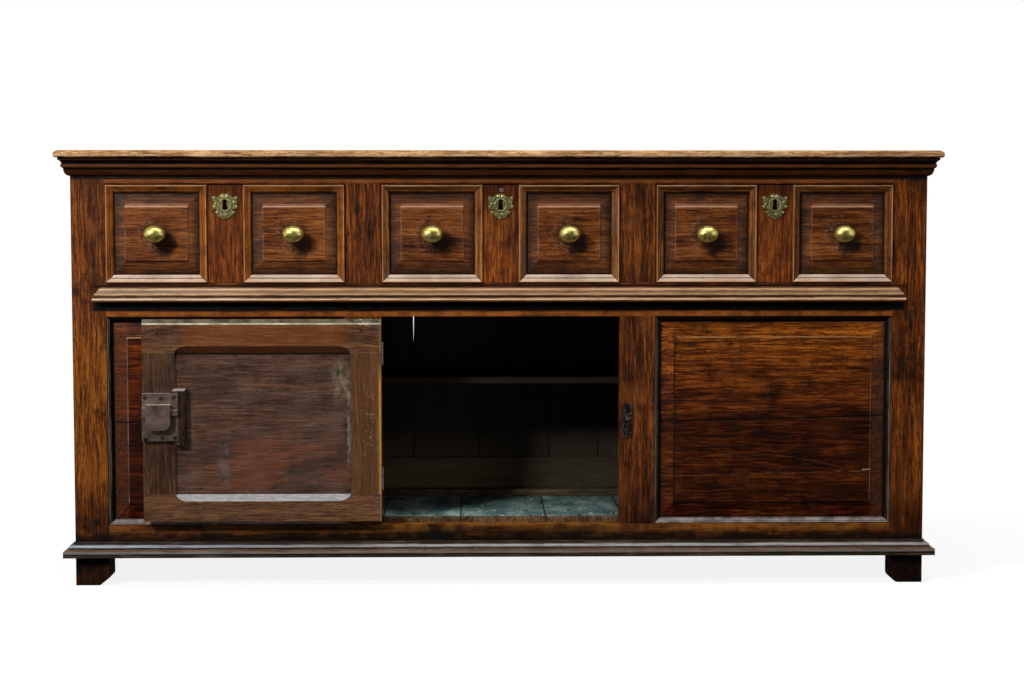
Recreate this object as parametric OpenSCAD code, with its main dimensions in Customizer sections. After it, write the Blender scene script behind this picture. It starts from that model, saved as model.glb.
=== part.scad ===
// Joined oak dresser base: three frieze drawers over a three bay cupboard.
// Lengths are in millimetres. X runs along the front, Y to the back, Z up.

/* [Front frame] */
// Width of each of the three bays between posts and muntins
bay_w = 497.5; // [470:0.5:520]
// Height of the cupboard bays
bay_h = 438; // [410:1:460]
// Height of the drawer openings
drawer_bay_h = 206.5; // [195:1:220]
// Width of a front post, seen from the front
post_w = 70; // [62:1:80]
// Depth of a front post
post_d = 67; // [56:1:80]
// Width of the muntins between the bays
muntin_w = 73.75; // [68:0.25:82]
// Thickness of the front rails and muntins
frame_t = 30; // [29:0.5:31]
// Height of the rail over the drawers
top_rail_h = 53.5; // [48:1:60]
// Height of the rail between drawers and cupboard
middle_rail_h = 69.5; // [60:0.5:80]
// Height of the bottom rail
bottom_rail_h = 63; // [55:1:75]
// Distance of the bottom rail above the underside of the base moulding
bottom_rail_up = 2; // [2:0.5:8]
// Height of the feet under the base moulding
foot_h = 61; // [40:0.5:70]
// Corner lost from the inner bottom edge of the left foot
left_foot_chamfer = 16; // [8:1:22]
// Radius worn on the inner bottom edge of the right foot
right_foot_r = 14; // [6:1:20]
// Wood lost from the inner side of the right foot
right_foot_loss = 6; // [1:0.5:10]

/* [Carcass depth] */
// Clear depth from the front face to the rear frame
inner_d = 332; // [320:1:400]
// Thickness of the rear posts and rails
rear_frame_t = 50; // [36:1:50]
// Width of a rear post, seen from the back
rear_post_w = 60; // [50:1:70]
// Thickness of the back boards
back_t = 14; // [10:1:18]
// Thickness of the side rails
side_t = 26; // [24:1:30]

/* [Top] */
// Thickness of the top boards
top_t = 15; // [12:0.5:20]
// Overhang of the top past the carcass
top_over = 29; // [27:1:36]
// Depth of the rear top board
top_rear_board = 205; // [150:5:250]
// Run of the thumbnail moulding in from the edge of the top
thumb_in = 12; // [8:1:16]
// Drop of the thumbnail moulding
thumb_drop = 8; // [5:0.5:10]

/* [Applied mouldings] */
// Height of the cornice under the top
cornice_h = 38.5; // [32:0.5:40]
// Projection of the cornice
cornice_out = 21.5; // [18:0.5:25]
// Height of the waist moulding
waist_h = 31; // [30:0.5:38]
// Projection of the waist moulding
waist_out = 19; // [16:0.5:22]
// Rail left bare above the waist moulding
waist_drop = 8; // [4:0.5:8]
// Distance of the mitred ends of the waist moulding from the carcass edge
waist_inset = 44; // [30:1:60]
// Height of the base moulding
base_h = 31; // [30:0.5:38]
// Projection of the base moulding
base_out = 22.5; // [20:0.5:26]

/* [Panels] */
// Width of the moulding round the cupboard panels
bay_moulding_w = 12.5; // [10:0.5:16]
// Width of the upright bevels of the cupboard panels
bay_bevel = 29.5; // [24:0.5:34]
// Width of the level bevels of the cupboard panels
bay_level_bevel = 32; // [26:0.5:36]
// Height of the joint of the two boards of a cupboard panel in its bay, at the left
joint_left_h = 216; // [190:0.5:250]
// Height of that joint at the right
joint_right_h = 228; // [190:0.5:250]
// Width of that joint, which has opened
joint_gap = 1.2; // [0.6:0.1:2]
// Thickness of a panel edge in its groove
tongue_t = 8; // [7:0.5:9]
// Depth of the panel grooves
groove_d = 8; // [6:0.5:10]
// Setback of the panel grooves from the front face
groove_back = 14; // [13.5:0.5:15]
// Setback of the mouldings of the cupboard panels from the front face
moulding_back = 2; // [0:0.5:3]
// Projection of the moulding on the outside of the door
door_moulding_proud = 1.5; // [0.5:0.5:2]
// Thickness left at the edge of a bevel
field_edge = 1; // [0.8:0.1:1.4]
// Rise of the bevel on the cupboard panels
bay_field_rise = 7.5; // [5:0.5:8]
// Rise of the bevel on the door panel and the end panels
door_field_rise = 4; // [3:0.5:4.5]
// Height of the small step round a raised field
field_step = 2; // [1:0.1:2.4]
// Thickness of the mouldings at their inner edge
moulding_foot = 2.4; // [1.8:0.1:3]

/* [Drawers] */
// Thickness of the drawer front behind its mouldings
drawer_slab_t = 18; // [16:1:19]
// Setback of that slab from the front face
drawer_slab_back = 8; // [6:0.5:9]
// Width of the flat strip between the two raised panels of a drawer
drawer_strip_w = 75; // [70:1:82]
// Width of the mouldings on the drawers
drawer_moulding_w = 16.5; // [15:0.5:20]
// Width of the upright bevels of the drawer panels
drawer_bevel = 24; // [18:0.5:28]
// Width of the level bevels of the drawer panels
drawer_level_bevel = 28.5; // [22:0.5:31]
// Rise of the bevel on the drawer panels
drawer_field_rise = 4.5; // [3:0.5:5]
// Projection of the drawer mouldings past the strip
drawer_moulding_proud = 5.5; // [4:0.5:7]
// Gap at each end of a drawer front
drawer_side_gap = 1.5; // [1:0.25:2.5]
// Gap above a drawer front
drawer_top_gap = 3; // [2:0.5:6]
// Gap under a drawer front
drawer_bottom_gap = 0.8; // [0.5:0.1:1.5]
// Thickness of the drawer sides and back
drawer_side_t = 12; // [9:1:15]
// Thickness of the drawer bottom
drawer_bottom_t = 9; // [7:1:12]
// Gap behind a closed drawer
drawer_rear_gap = 14; // [8:1:25]
// Height by which the drawer sides stop below the front
drawer_side_drop = 12; // [8:1:20]

/* [Knobs and escutcheons] */
// Length of an egg knob across the drawer
knob_l = 44; // [40:1:48]
// Diameter of an egg knob
knob_d = 35; // [32:1:38]
// Reach of a knob in front of the frame
knob_reach = 45; // [42:1:50]
// Diameter of the knob shank in the drawer front
shank_d = 7; // [6:0.5:9]
// Width and height of an escutcheon
escutcheon_size = 53; // [50:1:60]
// Thickness of an escutcheon
escutcheon_t = 2.5; // [2:0.5:3]
// Drop of the escutcheon centre below the top of the drawer
escutcheon_drop = 44; // [36:1:50]
// Height of the keyhole's round part above the escutcheon centre
key_rise = 10.5; // [6:0.5:12]
// Diameter of the round part of the keyholes
keyhole_d = 9; // [6:0.1:10]
// Length of a keyhole below the centre of its round part
keyhole_l = 18.5; // [12:0.5:20]

/* [Drawer locks] */
// Width of a drawer lock
lock_w = 50; // [44:1:56]
// Length of a drawer lock below the keyhole
lock_below_key = 12; // [10:1:16]
// Thickness of a drawer lock
lock_t = 12; // [10:0.5:13]
// Overlap of its cover plate over the back of the drawer front
lock_cover_over = 6; // [4:1:8]
// Thickness of the cover plate
lock_cover_t = 1.5; // [1:0.25:2]
// Width of the bolt
lock_bolt_w = 20; // [16:1:24]
// Thickness of the bolt
lock_bolt_t = 5; // [4:0.5:6]
// Length of the channel for the bolt
lock_bolt_h = 26; // [22:1:28]
// Depth of the mortise for the bolt in the top rail
strike_depth = 12; // [12:0.5:16]

/* [Door] */
// Thickness of the door
door_t = 21; // [20:0.5:22]
// Gap between the door and the muntin at its hinges
hinge_gap = 2; // [1.8:0.1:2.4]
// Gap between the door and the muntin at its lock
lock_gap = 2; // [2:0.25:4]
// Gap over the closed door
door_top_gap = 4.5; // [1.5:0.5:6]
// Gap under the closed door
door_bottom_gap = 12; // [3:0.5:14]
// Width of the door stile that carries the lock
lock_stile_w = 66; // [62:1:78]
// Width of the door stile that carries the hinges
hinge_stile_w = 63.5; // [56:0.5:72]
// Height of the top rail of the door
door_top_rail_h = 69.5; // [62:0.5:76]
// Height of the bottom rail of the door
door_bottom_rail_h = 57; // [50:0.5:66]
// Height of the chamfers on the inside of the door rails
chamfer_h = 15.5; // [8:0.5:18]
// Depth of these chamfers
chamfer_d = 5; // [3:0.5:5.5]
// Length of the curved stop at each end of a chamfer
chamfer_stop = 36; // [20:1:40]
// Height of the worn bevel along the inside top edge of the door
worn_edge_h = 11; // [6:1:16]

/* [Door hinges] */
// Height of a butt hinge
hinge_h = 48; // [40:1:56]
// Height of the lower hinge centre above the floor
lower_hinge_z = 225; // [210:1:240]
// Height of the upper hinge centre above the floor
upper_hinge_z = 487; // [470:1:500]
// Diameter of the hinge knuckles
knuckle_d = 7; // [6:0.2:7.2]
// Diameter of the hinge pins
hinge_pin_d = 4; // [3:0.2:4.4]
// Thickness of a hinge leaf
leaf_t = 1.8; // [1.2:0.1:1.9]
// Width of a hinge leaf in the edge of the wood
leaf_w = 19; // [14:1:20]
// Distance of the hinge axis in front of the frame
pin_out = 3.7; // [3.7:0.1:4.2]

/* [Door lock] */
// Reach of the block under the lock from the free edge of the door
block_w = 91; // [84:1:96]
// Height of that block over the door panel
block_h = 117; // [110:1:130]
// Thickness of the block above the door frame
block_t = 9.5; // [9.5:0.5:11]
// Height of the lock centre above the floor
lock_z = 358; // [340:0.5:370]
// Width of the lock plate
plate_w = 74; // [68:1:78]
// Height of the lock plate
plate_h = 99; // [90:1:104]
// Thickness of the lock plate
plate_t = 1.5; // [1:0.25:2]
// Width of the lock case
case_w = 51; // [48:1:58]
// Height of the lock case
case_h = 53.5; // [48:0.5:60]
// Thickness of the lock case
case_t = 14; // [12:0.5:16]
// Distance of the lock case from the free edge of the door
case_in = 9; // [4:0.5:11]
// Height of the bolt head
bolt_h = 20; // [16:1:22]
// Thickness of the bolt
bolt_t = 8; // [6:0.5:9]
// Length of bolt tail past the case when drawn back
bolt_tail = 15; // [15:0.5:20]
// Height of the bolt centre above the lock centre
bolt_up = 10; // [8:0.5:12]

/* [Turn button] */
// Length of the turn button
button_l = 72; // [60:1:80]
// Width of the turn button
button_w = 18.7; // [15:0.1:20]
// Thickness of the turn button
button_t = 4; // [3:0.5:6]
// Distance of its screw from the edge of the muntin
button_in = 15.8; // [14:0.5:25]
// Height of its screw above the floor
button_z = 345.5; // [320:1:370]
// Thickness of its raised middle
boss_t = 2.5; // [1:0.5:4]
// Diameter of its screw
screw_d = 6; // [5:0.5:7]
// Length of its screw in the muntin
screw_l = 24; // [18:1:26]
// Height of the head of its screw
screw_head_h = 3; // [2:0.5:4]

/* [Inside] */
// Height of the floor boards above the bottom rail
floor_up = 9.5; // [8:0.5:14]
// Thickness of the floor boards
floor_t = 14; // [12.5:0.5:18]
// Joints between the floor boards, from the middle of the dresser
floor_joints = [-668, -490, -248, -84, 96, 258, 455, 640];
// Joints between the back boards, from the middle of the dresser
back_joints = [-715, -540, -368, -192.5, -42, 115, 229, 395, 560, 730];
// Gap between neighbouring boards of the top and the floor
board_gap = 0.6; // [0.4:0.1:1.5]
// Width of the open crack at the top of one back joint
crack_w = 3; // [1:0.5:5]
// Length of that crack down from the middle rail
crack_l = 95; // [60:1:150]
// Height of the rear bottom rail above the floor boards
rear_rail_up = 16; // [10:1:25]
// Height of the lower back board above the rear bottom rail
lower_back_h = 68; // [50:1:90]
// Thickness of the lower back board
lower_back_t = 14; // [10:1:18]
// Setback of the shelf from the front face
shelf_back = 200; // [160:5:240]
// Height of the shelf top above the floor boards
shelf_up = 283; // [240:0.5:320]
// Thickness of the shelf
shelf_t = 13; // [10:1:18]
// Height of the bearers under floor and shelf
bearer_h = 20; // [15:1:30]
// Thickness of the bearers
bearer_t = 25; // [18:1:30]
// Thickness of the drawer runners
runner_t = 20; // [15:1:25]
// Ledge of a runner under each drawer side
runner_ledge = 25; // [18:1:35]
// Height of the guides on the runners
guide_h = 20; // [15:1:30]

/* [Hidden] */

// Colours of the woods and metals
oak_dark = [0.22, 0.11, 0.06];
oak_tan = [0.55, 0.40, 0.25];
oak_inside = [0.30, 0.24, 0.18];
oak_floor = [0.10, 0.17, 0.16];
brass = [0.72, 0.66, 0.42];
iron = [0.20, 0.17, 0.15];

// Reach of the cutting tools past the wood that they cut
past = 1;
// Clearance of a panel in its groove and of a part let into wood
fit_gap = 0.2;
// Running clearance on the radius of a pin in its bore
pin_gap = 0.05;
// Clearance of sliding and turning iron work
slide_gap = 0.3;
// Clearance of a drawer bolt in its mortise
strike_gap = 2;
// Line between two pieces of one frame or moulding, or two boards of the back
glue_gap = 0.1;

// Levels above the floor
bay_z = foot_h + bottom_rail_up + bottom_rail_h;
waist_rail_z = bay_z + bay_h;
drawer_z = waist_rail_z + middle_rail_h;
top_rail_z = drawer_z + drawer_bay_h;
carcass_h = top_rail_z + top_rail_h;
floor_z = bay_z + floor_up;
shelf_z = floor_z + shelf_up;
rear_rail_top = floor_z + rear_rail_up;

// Widths and depths of the carcass
carcass_w = 3 * bay_w + 2 * muntin_w + 2 * post_w;
half_w = carcass_w / 2;
bay_pitch = bay_w + muntin_w;
back_y = inner_d + rear_frame_t;
carcass_d = back_y + back_t;
side_x = half_w - side_t;

// Door: it is drawn closed and turned about its hinge axis to lie open
pin_x = -bay_w / 2 + hinge_gap / 2;
pin_y = -pin_out;
door_open = 180;
door_x0 = -bay_w / 2 + hinge_gap;
door_x1 = bay_w / 2 - lock_gap;
door_z0 = bay_z + door_bottom_gap;
door_z1 = waist_rail_z - door_top_gap;
stile_z0 = door_z0 + door_bottom_rail_h;
stile_z1 = door_z1 - door_top_rail_h;
door_panel_w = door_x1 - door_x0 - lock_stile_w - hinge_stile_w;
door_panel_h = stile_z1 - stile_z0;
door_panel_x = (door_x0 + hinge_stile_w + door_x1 - lock_stile_w) / 2;
door_panel_z = (stile_z0 + stile_z1) / 2;
// Setback of the door panel groove, which leaves the inside of the frame proud of the panel
door_groove_back = 7;
hinge_levels = [lower_hinge_z, upper_hinge_z];
// Gap between a leaf and the one that faces it in the closed door
leaf_gap = 0.4;
knuckle_h = hinge_h / 3;
plate_y = door_t + block_t;
bolt_y = plate_y + plate_t + slide_gap;
door_keyhole_x = door_x1 - case_in - case_w / 2;
door_stack = 2 * pin_out + plate_y + plate_t + case_t;
button_x = bay_w / 2 + button_in;
button_y = -slide_gap - button_t;

// The origin is at the middle of the footprint, so the front face lies at this Y
front_reach = max(knob_reach, door_stack);
face_y = (front_reach - carcass_d) / 2;

// Drawers
drawer_w = bay_w - 2 * drawer_side_gap;
drawer_front_z = drawer_z + drawer_bottom_gap;
drawer_h = drawer_bay_h - drawer_bottom_gap - drawer_top_gap;
drawer_slab_y = drawer_slab_back + drawer_slab_t;
drawer_back_y = inner_d - drawer_rear_gap;
drawer_floor_z = drawer_z + slide_gap;
half_panel_w = (drawer_w - drawer_strip_w) / 2;
knob_x = drawer_strip_w / 2 + half_panel_w / 2;
drawer_mid_z = drawer_front_z + drawer_h / 2;
escutcheon_z = drawer_front_z + drawer_h - escutcheon_drop;
keyhole_z = escutcheon_z + key_rise;
lock_h = escutcheon_drop + lock_below_key;
bolt_mid_y = drawer_slab_y - lock_t / 2;
drawer_field_h = field_edge + drawer_field_rise + field_step;

$fn = 48;

// Points of an arc of ellipse, from angle a0 to a1 about c
function arc(c, rx, ry, a0, a1, steps = 6) =
    [for (i = [0:steps]) let (a = a0 + (a1 - a0) * i / steps) [c[0] + rx * cos(a), c[1] + ry * sin(a)]];

// Everything is drawn with the front face of the frame at Y = 0 and moved by this
module on_face() {
    translate([0, face_y, 0]) children();
}

// A box given by its low and high corners
module box(low, high) {
    translate(low) cube(high - low);
}

// A profile in Y and Z, run along X and centred
module run_along(l) {
    rotate([90, 0, 90]) translate([0, 0, -l / 2]) linear_extrude(l) children();
}

// A shape in X and Z, standing from y0 back to y1
module standing(y0, y1) {
    translate([0, y1, 0]) rotate([90, 0, 0]) linear_extrude(y1 - y0) children();
}

// Repeats a strip along the four sides of a rectangle in X and Z, and tells it whether it lies level
module four_sides(w, h) {
    for (k = [0:3]) {
        $level = k % 2 == 0;
        $run = $level ? w : h;
        rotate([0, 90 * k, 0]) translate([0, 0, -($level ? h : w) / 2]) children();
    }
}

// Plan of a strip that is mitred inwards at both ends
module mitred_strip(half, w) {
    polygon([[-half, 0], [half, 0], [half - w, w], [-half + w, w]]);
}

// A mitred frame of moulding round the inside of a rectangle, with its profile in Y and Z
module moulding_frame(w, h, strip_w) {
    reach = 40;
    four_sides(w, h) intersection() {
        run_along($run) children();
        standing(-reach, reach)
            mitred_strip($run / 2 - glue_gap, strip_w);
    }
}

// A raised field: an edge, upright and level bevels, a small step and the flat field
module raised_field(w, h, rise, bevel, level_bevel) {
    top = field_edge + rise;
    module bevel_cut(b) {
        polygon([[-field_edge, -past], [-field_edge, 0], [-top, b], [-top - past, b], [-top - past, -past]]);
    }
    difference() {
        box([-w / 2, -top, -h / 2], [w / 2, 0, h / 2]);
        four_sides(w, h) run_along($run + 2 * past) bevel_cut($level ? level_bevel : bevel);
    }
    translate([0, -top, 0])
        box([-w / 2 + bevel, -field_step, -h / 2 + level_bevel],
            [w / 2 - bevel, 0, h / 2 - level_bevel]);
}

// Moulding profile: a bead at the outer edge, a quirk, and an ogee down to the foot of the inner edge
module ogee_profile(w, h, foot) {
    bead = w * 0.17;
    quirk = w * 0.045;
    shoulder = bead - h;
    middle = -(foot + (h - bead - foot) * 0.5);
    round_z = 2 * bead + quirk;
    round_w = w * 0.28;
    cove_w = w - quirk - round_z - round_w;
    polygon(concat(
        [[0, 0], [shoulder, 0]],
        arc([shoulder, bead], bead, bead, 270, 90, 8),
        [[shoulder + quirk, 2 * bead], [shoulder + quirk, round_z]],
        arc([middle, round_z], middle - shoulder, round_w, 180, 90, 6),
        arc([middle, w - quirk], -foot - middle, cove_w, 270, 360, 5),
        [[-foot, w], [0, w]]));
}

// Moulding profile of the drawers: an arris, a slope, a quirk, and an ovolo down to the foot
module sloped_profile(w, h, foot) {
    arris = 1.2;
    quirk = 0.7;
    mid_w = w * 0.52;
    mid_h = foot + (h - foot) * 0.72;
    polygon(concat(
        [[0, 0], [arris - h, 0], [-h, arris], [-h, 2 * arris], [-mid_h, mid_w], [quirk - mid_h, mid_w]],
        arc([-foot, mid_w + quirk], mid_h - quirk - foot, w - mid_w - quirk, 180, 90, 6),
        [[0, w]]));
}

// Keyhole outline in X and Z about the centre of its round part: the slot widens to its foot
module keyhole_outline() {
    neck = keyhole_d * 0.44;
    foot = keyhole_d * 0.6;
    circle(d = keyhole_d);
    polygon([[-neck, 0], [neck, 0], [foot, -keyhole_l], [-foot, -keyhole_l]]);
}

// Top of two boards with a thumbnail moulding along the front and the ends
module top_boards() {
    low_r = 4;
    edge_z = top_t - thumb_drop;
    reach_x = half_w + top_over;
    module edge_profile(in) {
        polygon(concat(
            [[in, 0]],
            arc([-top_over + low_r, low_r], low_r, low_r, 270, 180, 4),
            arc([-top_over + thumb_in, edge_z], thumb_in, thumb_drop, 180, 90, 8),
            [[in, top_t]]));
    }
    module end_profile() {
        for (s = [0, 1]) mirror([s, 0]) translate([-half_w, 0]) edge_profile(half_w);
    }
    joint_y = carcass_d - top_rear_board;
    color(oak_tan) on_face() translate([0, 0, carcass_h])
        for (span = [[-top_over, joint_y - board_gap / 2], [joint_y + board_gap / 2, carcass_d]])
            intersection() {
                run_along(2 * reach_x) edge_profile(carcass_d);
                standing(-top_over, carcass_d) end_profile();
                box([-reach_x, span[0], 0], [reach_x, span[1], top_t]);
            }
}

// Plan of a moulding piece that is mitred at the front corners of the carcass
module front_plan(half, out) {
    mitred_strip(half - glue_gap, -out);
}
module side_plan(out) {
    polygon([[half_w, 0], [half_w + out, -out], [half_w + out, carcass_d], [half_w, carcass_d]]);
}

// A moulding along the front and round both ends of the carcass, as three mitred pieces
module returned_moulding(out, h) {
    intersection() {
        run_along(2 * half_w + 2 * out) children();
        linear_extrude(h) front_plan(half_w, out);
    }
    for (s = [0, 1]) mirror([s, 0, 0]) intersection() {
        translate([half_w, (carcass_d - out) / 2, 0]) rotate([0, 0, 90])
            run_along(carcass_d + out) children();
        linear_extrude(h) side_plan(out);
    }
}

// Cornice: fillet, cove, bead and an ovolo that turns under to the frame
module cornice() {
    h = cornice_h;
    p = cornice_out;
    module profile() {
        polygon(concat(
            [[0, 0], [-1, 0]],
            arc([-p * 0.05, h * 0.42], p * 0.5, h * 0.4, 270, 180, 6),
            arc([-p * 0.62, h * 0.58], p * 0.14, h * 0.13, 250, 100, 6),
            arc([-p, h * 0.68], p * 0.28, h * 0.18, 20, 90, 4),
            [[-p, h], [0, h]]));
    }
    color(oak_dark) on_face() translate([0, 0, carcass_h - h]) returned_moulding(p, h) profile();
}

// Waist moulding: three small steps sloping out to a round nose, with mitred returns at its ends
module waist_moulding() {
    h = waist_h;
    p = waist_out;
    half = half_w - waist_inset - p;
    nose = h * 0.17;
    module profile() {
        polygon(concat(
            [[0, 0]],
            arc([-p + nose, nose], nose, nose, 270, 90, 8),
            [[-p * 0.86, h * 0.4], [-p * 0.82, h * 0.44], [-p * 0.72, h * 0.6], [-p * 0.6, h * 0.61],
             [-p * 0.5, h * 0.77], [-p * 0.38, h * 0.78], [-p * 0.28, h * 0.92], [-p * 0.12, h], [0, h]]));
    }
    color(oak_dark) on_face() translate([0, 0, drawer_z - waist_drop - h]) intersection() {
        union() {
            run_along(2 * half) profile();
            for (s = [0, 1]) mirror([s, 0, 0]) intersection() {
                translate([half, 0, 0]) rotate([0, 0, 90]) run_along(2 * p) profile();
                linear_extrude(h) polygon([[half, 0], [half + p, -p], [half + p, 0]]);
            }
            intersection() {
                run_along(2 * half + 2 * p) profile();
                linear_extrude(h) front_plan(half, p);
            }
        }
        box([-half_w, -p, 0], [half_w, 0, h]);
    }
}

// Base moulding: fillet, bead, hollow, second bead and a square foot
module base_moulding() {
    h = base_h;
    p = base_out;
    module profile() {
        polygon(concat(
            [[0, 0], [-p, 0], [-p, h * 0.27]],
            arc([-p * 0.78, h * 0.36], p * 0.22, h * 0.14, 180, 90, 5),
            arc([-p * 0.72, h * 0.62], p * 0.14, h * 0.1, 270, 360, 3),
            arc([-p * 0.28, h * 0.64], p * 0.3, h * 0.2, 170, 90, 5),
            [[-p * 0.14, h * 0.84], [-p * 0.14, h], [0, h]]));
    }
    color(oak_dark) on_face() translate([0, 0, foot_h]) returned_moulding(p, h) profile();
}

// Front posts run down to the floor as feet, and hold the panels in grooves
module front_post(side) {
    lost_x = -1.25 * left_foot_chamfer;
    color(oak_dark) on_face() difference() {
        mirror([side > 0 ? 0 : 1, 0, 0]) box([half_w - post_w, 0, 0], [half_w, post_d, carcass_h]);
        bay_grooves();
        side_grooves();
        if (side < 0)
            translate([-half_w + post_w, 0, 0]) standing(-past, post_d + past)
                polygon([[lost_x, -past], [lost_x, 0], [0, left_foot_chamfer],
                         [past, left_foot_chamfer], [past, -past]]);
        else
            translate([half_w - post_w, 0, 0]) standing(-past, post_d + past) {
                translate([-past, -past]) square([right_foot_loss + past, foot_h + past]);
                translate([right_foot_loss, 0]) difference() {
                    translate([-past, -past]) square(right_foot_r + past);
                    translate([right_foot_r, right_foot_r]) circle(right_foot_r);
                }
            }
    }
}

// Rear posts, the full height of the carcass, with the side panels in grooves
module rear_posts() {
    color(oak_inside) on_face() for (s = [0, 1]) mirror([s, 0, 0]) difference() {
        box([half_w - rear_post_w, inner_d, 0], [half_w, back_y, carcass_h]);
        side_grooves();
    }
}

// Grooves for the two fixed cupboard panels
module bay_grooves() {
    for (s = [-1, 1]) translate([s * bay_pitch, 0, 0])
        box([-bay_w / 2 - groove_d, groove_back, bay_z - groove_d],
            [bay_w / 2 + groove_d, groove_back + tongue_t, waist_rail_z + groove_d]);
}

// Grooves for the four side panels
module side_grooves() {
    x = half_w - (side_t + tongue_t) / 2;
    for (s = [0, 1], level = [[bay_z, waist_rail_z], [drawer_z, top_rail_z]])
        mirror([s, 0, 0])
            box([x, post_d - groove_d, level[0] - groove_d],
                [x + tongue_t, inner_d + groove_d, level[1] + groove_d]);
}

// Rail over the drawers, with a mortise for the bolt of each drawer lock
module top_rail() {
    strike_x = lock_bolt_w / 2 + strike_gap;
    strike_y = lock_bolt_t / 2 + strike_gap;
    color(oak_dark) on_face() difference() {
        box([-half_w + post_w, 0, top_rail_z], [half_w - post_w, frame_t, carcass_h]);
        for (i = [-1:1]) translate([i * bay_pitch, 0, 0])
            box([-strike_x, bolt_mid_y - strike_y, top_rail_z - past],
                [strike_x, bolt_mid_y + strike_y, top_rail_z + strike_depth]);
    }
}

// Rail between drawers and cupboard
module middle_rail() {
    color(oak_dark) on_face() difference() {
        box([-half_w + post_w, 0, waist_rail_z], [half_w - post_w, frame_t, drawer_z]);
        bay_grooves();
    }
}

// Bottom rail
module bottom_rail() {
    color(oak_dark) on_face() difference() {
        box([-half_w + post_w, 0, bay_z - bottom_rail_h], [half_w - post_w, frame_t, bay_z]);
        bay_grooves();
    }
}

// Short muntins between the drawers
module drawer_muntins() {
    color(oak_dark) on_face() for (s = [-1, 1]) translate([s * bay_pitch / 2, 0, 0])
        box([-muntin_w / 2, 0, drawer_z], [muntin_w / 2, frame_t, top_rail_z]);
}

// Muntins on each side of the door, with recesses for the hinges and a hole for the button screw
module door_muntins() {
    color(oak_dark) on_face() for (s = [-1, 1]) difference() {
        translate([s * bay_pitch / 2, 0, 0])
            box([-muntin_w / 2, 0, bay_z], [muntin_w / 2, frame_t, waist_rail_z]);
        bay_grooves();
        hinge_recesses(-1);
        translate([button_x, 0, button_z]) rotate([-90, 0, 0]) translate([0, 0, -past])
            cylinder(d = screw_d, h = screw_l + past);
    }
}

// Fixed panels of the left and right bays: each is fielded from two boards, whose joint has opened
module bay_panels() {
    w = bay_w + 2 * groove_d - 2 * fit_gap;
    h = bay_h + 2 * groove_d - 2 * fit_gap;
    y0 = groove_back + fit_gap;
    middle = (joint_left_h + joint_right_h - bay_h) / 2;
    rise = joint_right_h - joint_left_h;
    color(oak_dark) on_face() for (s = [-1, 1])
    translate([s * bay_pitch, 0, bay_z + bay_h / 2]) difference() {
        union() {
            box([-w / 2, y0, -h / 2], [w / 2, y0 + tongue_t - 2 * fit_gap, h / 2]);
            translate([0, y0, 0])
                raised_field(bay_w - 2 * bay_moulding_w, bay_h - 2 * bay_moulding_w, bay_field_rise,
                             bay_bevel, bay_level_bevel);
        }
        translate([0, 0, middle]) standing(-past, y0 + tongue_t)
            polygon([[-bay_w, -rise - joint_gap / 2], [bay_w, rise - joint_gap / 2],
                     [bay_w, rise + joint_gap / 2], [-bay_w, -rise + joint_gap / 2]]);
    }
}

// Mitred mouldings round the two fixed panels
module bay_mouldings() {
    seat = groove_back + fit_gap;
    color(oak_dark) on_face() for (s = [-1, 1]) translate([s * bay_pitch, seat, bay_z + bay_h / 2])
        moulding_frame(bay_w, bay_h, bay_moulding_w)
            ogee_profile(bay_moulding_w, seat - moulding_back, moulding_foot);
}

// Rails of the two end frames
module side_rails() {
    color(oak_dark) on_face() for (s = [0, 1]) mirror([s, 0, 0]) difference() {
        for (level = [[bay_z - bottom_rail_h, bay_z], [waist_rail_z, drawer_z], [top_rail_z, carcass_h]])
            box([side_x, post_d, level[0]], [half_w, inner_d, level[1]]);
        side_grooves();
    }
}

// Fielded panels of the two end frames
module side_panels() {
    w = inner_d - post_d + 2 * groove_d - 2 * fit_gap;
    x = half_w - (side_t - tongue_t) / 2 - fit_gap;
    edge_gap = 3;
    field_w = inner_d - post_d - 2 * edge_gap;
    color(oak_dark) on_face() for (s = [0, 1], level = [[bay_z, bay_h], [drawer_z, drawer_bay_h]])
        mirror([s, 0, 0]) translate([x, (post_d + inner_d) / 2, level[0] + level[1] / 2])
        rotate([0, 0, 90]) {
            h = level[1] + 2 * groove_d - 2 * fit_gap;
            box([-w / 2, 0, -h / 2], [w / 2, tongue_t - 2 * fit_gap, h / 2]);
            raised_field(field_w, level[1] - 2 * edge_gap, door_field_rise, bay_bevel, bay_bevel);
        }
}

// Vertical back boards, and the low board that lies across their feet on the inside
module back_boards() {
    edges = concat([-half_w - glue_gap / 2], back_joints, [half_w + glue_gap / 2]);
    crack_x = back_joints[3];
    color(oak_inside) on_face() {
        difference() {
            for (i = [0:len(edges) - 2])
                box([edges[i] + glue_gap / 2, back_y, bay_z - bottom_rail_h],
                    [edges[i + 1] - glue_gap / 2, carcass_d, carcass_h]);
            standing(back_y - past, carcass_d + past)
                polygon([[crack_x, waist_rail_z - crack_l], [crack_x + crack_w / 2, waist_rail_z],
                         [crack_x - crack_w / 2, waist_rail_z]]);
        }
        box([-half_w + rear_post_w, back_y - lower_back_t, rear_rail_top],
            [half_w - rear_post_w, back_y - glue_gap, rear_rail_top + lower_back_h]);
    }
}

// Rear rails: the lowest one stands up behind the floor boards as a low fillet
module back_rails() {
    color(oak_inside) on_face()
        for (level = [[bay_z - bottom_rail_h, rear_rail_top], [waist_rail_z, drawer_z - runner_t],
                      [top_rail_z, carcass_h]])
            box([-half_w + rear_post_w, inner_d, level[0]], [half_w - rear_post_w, back_y, level[1]]);
}

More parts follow.
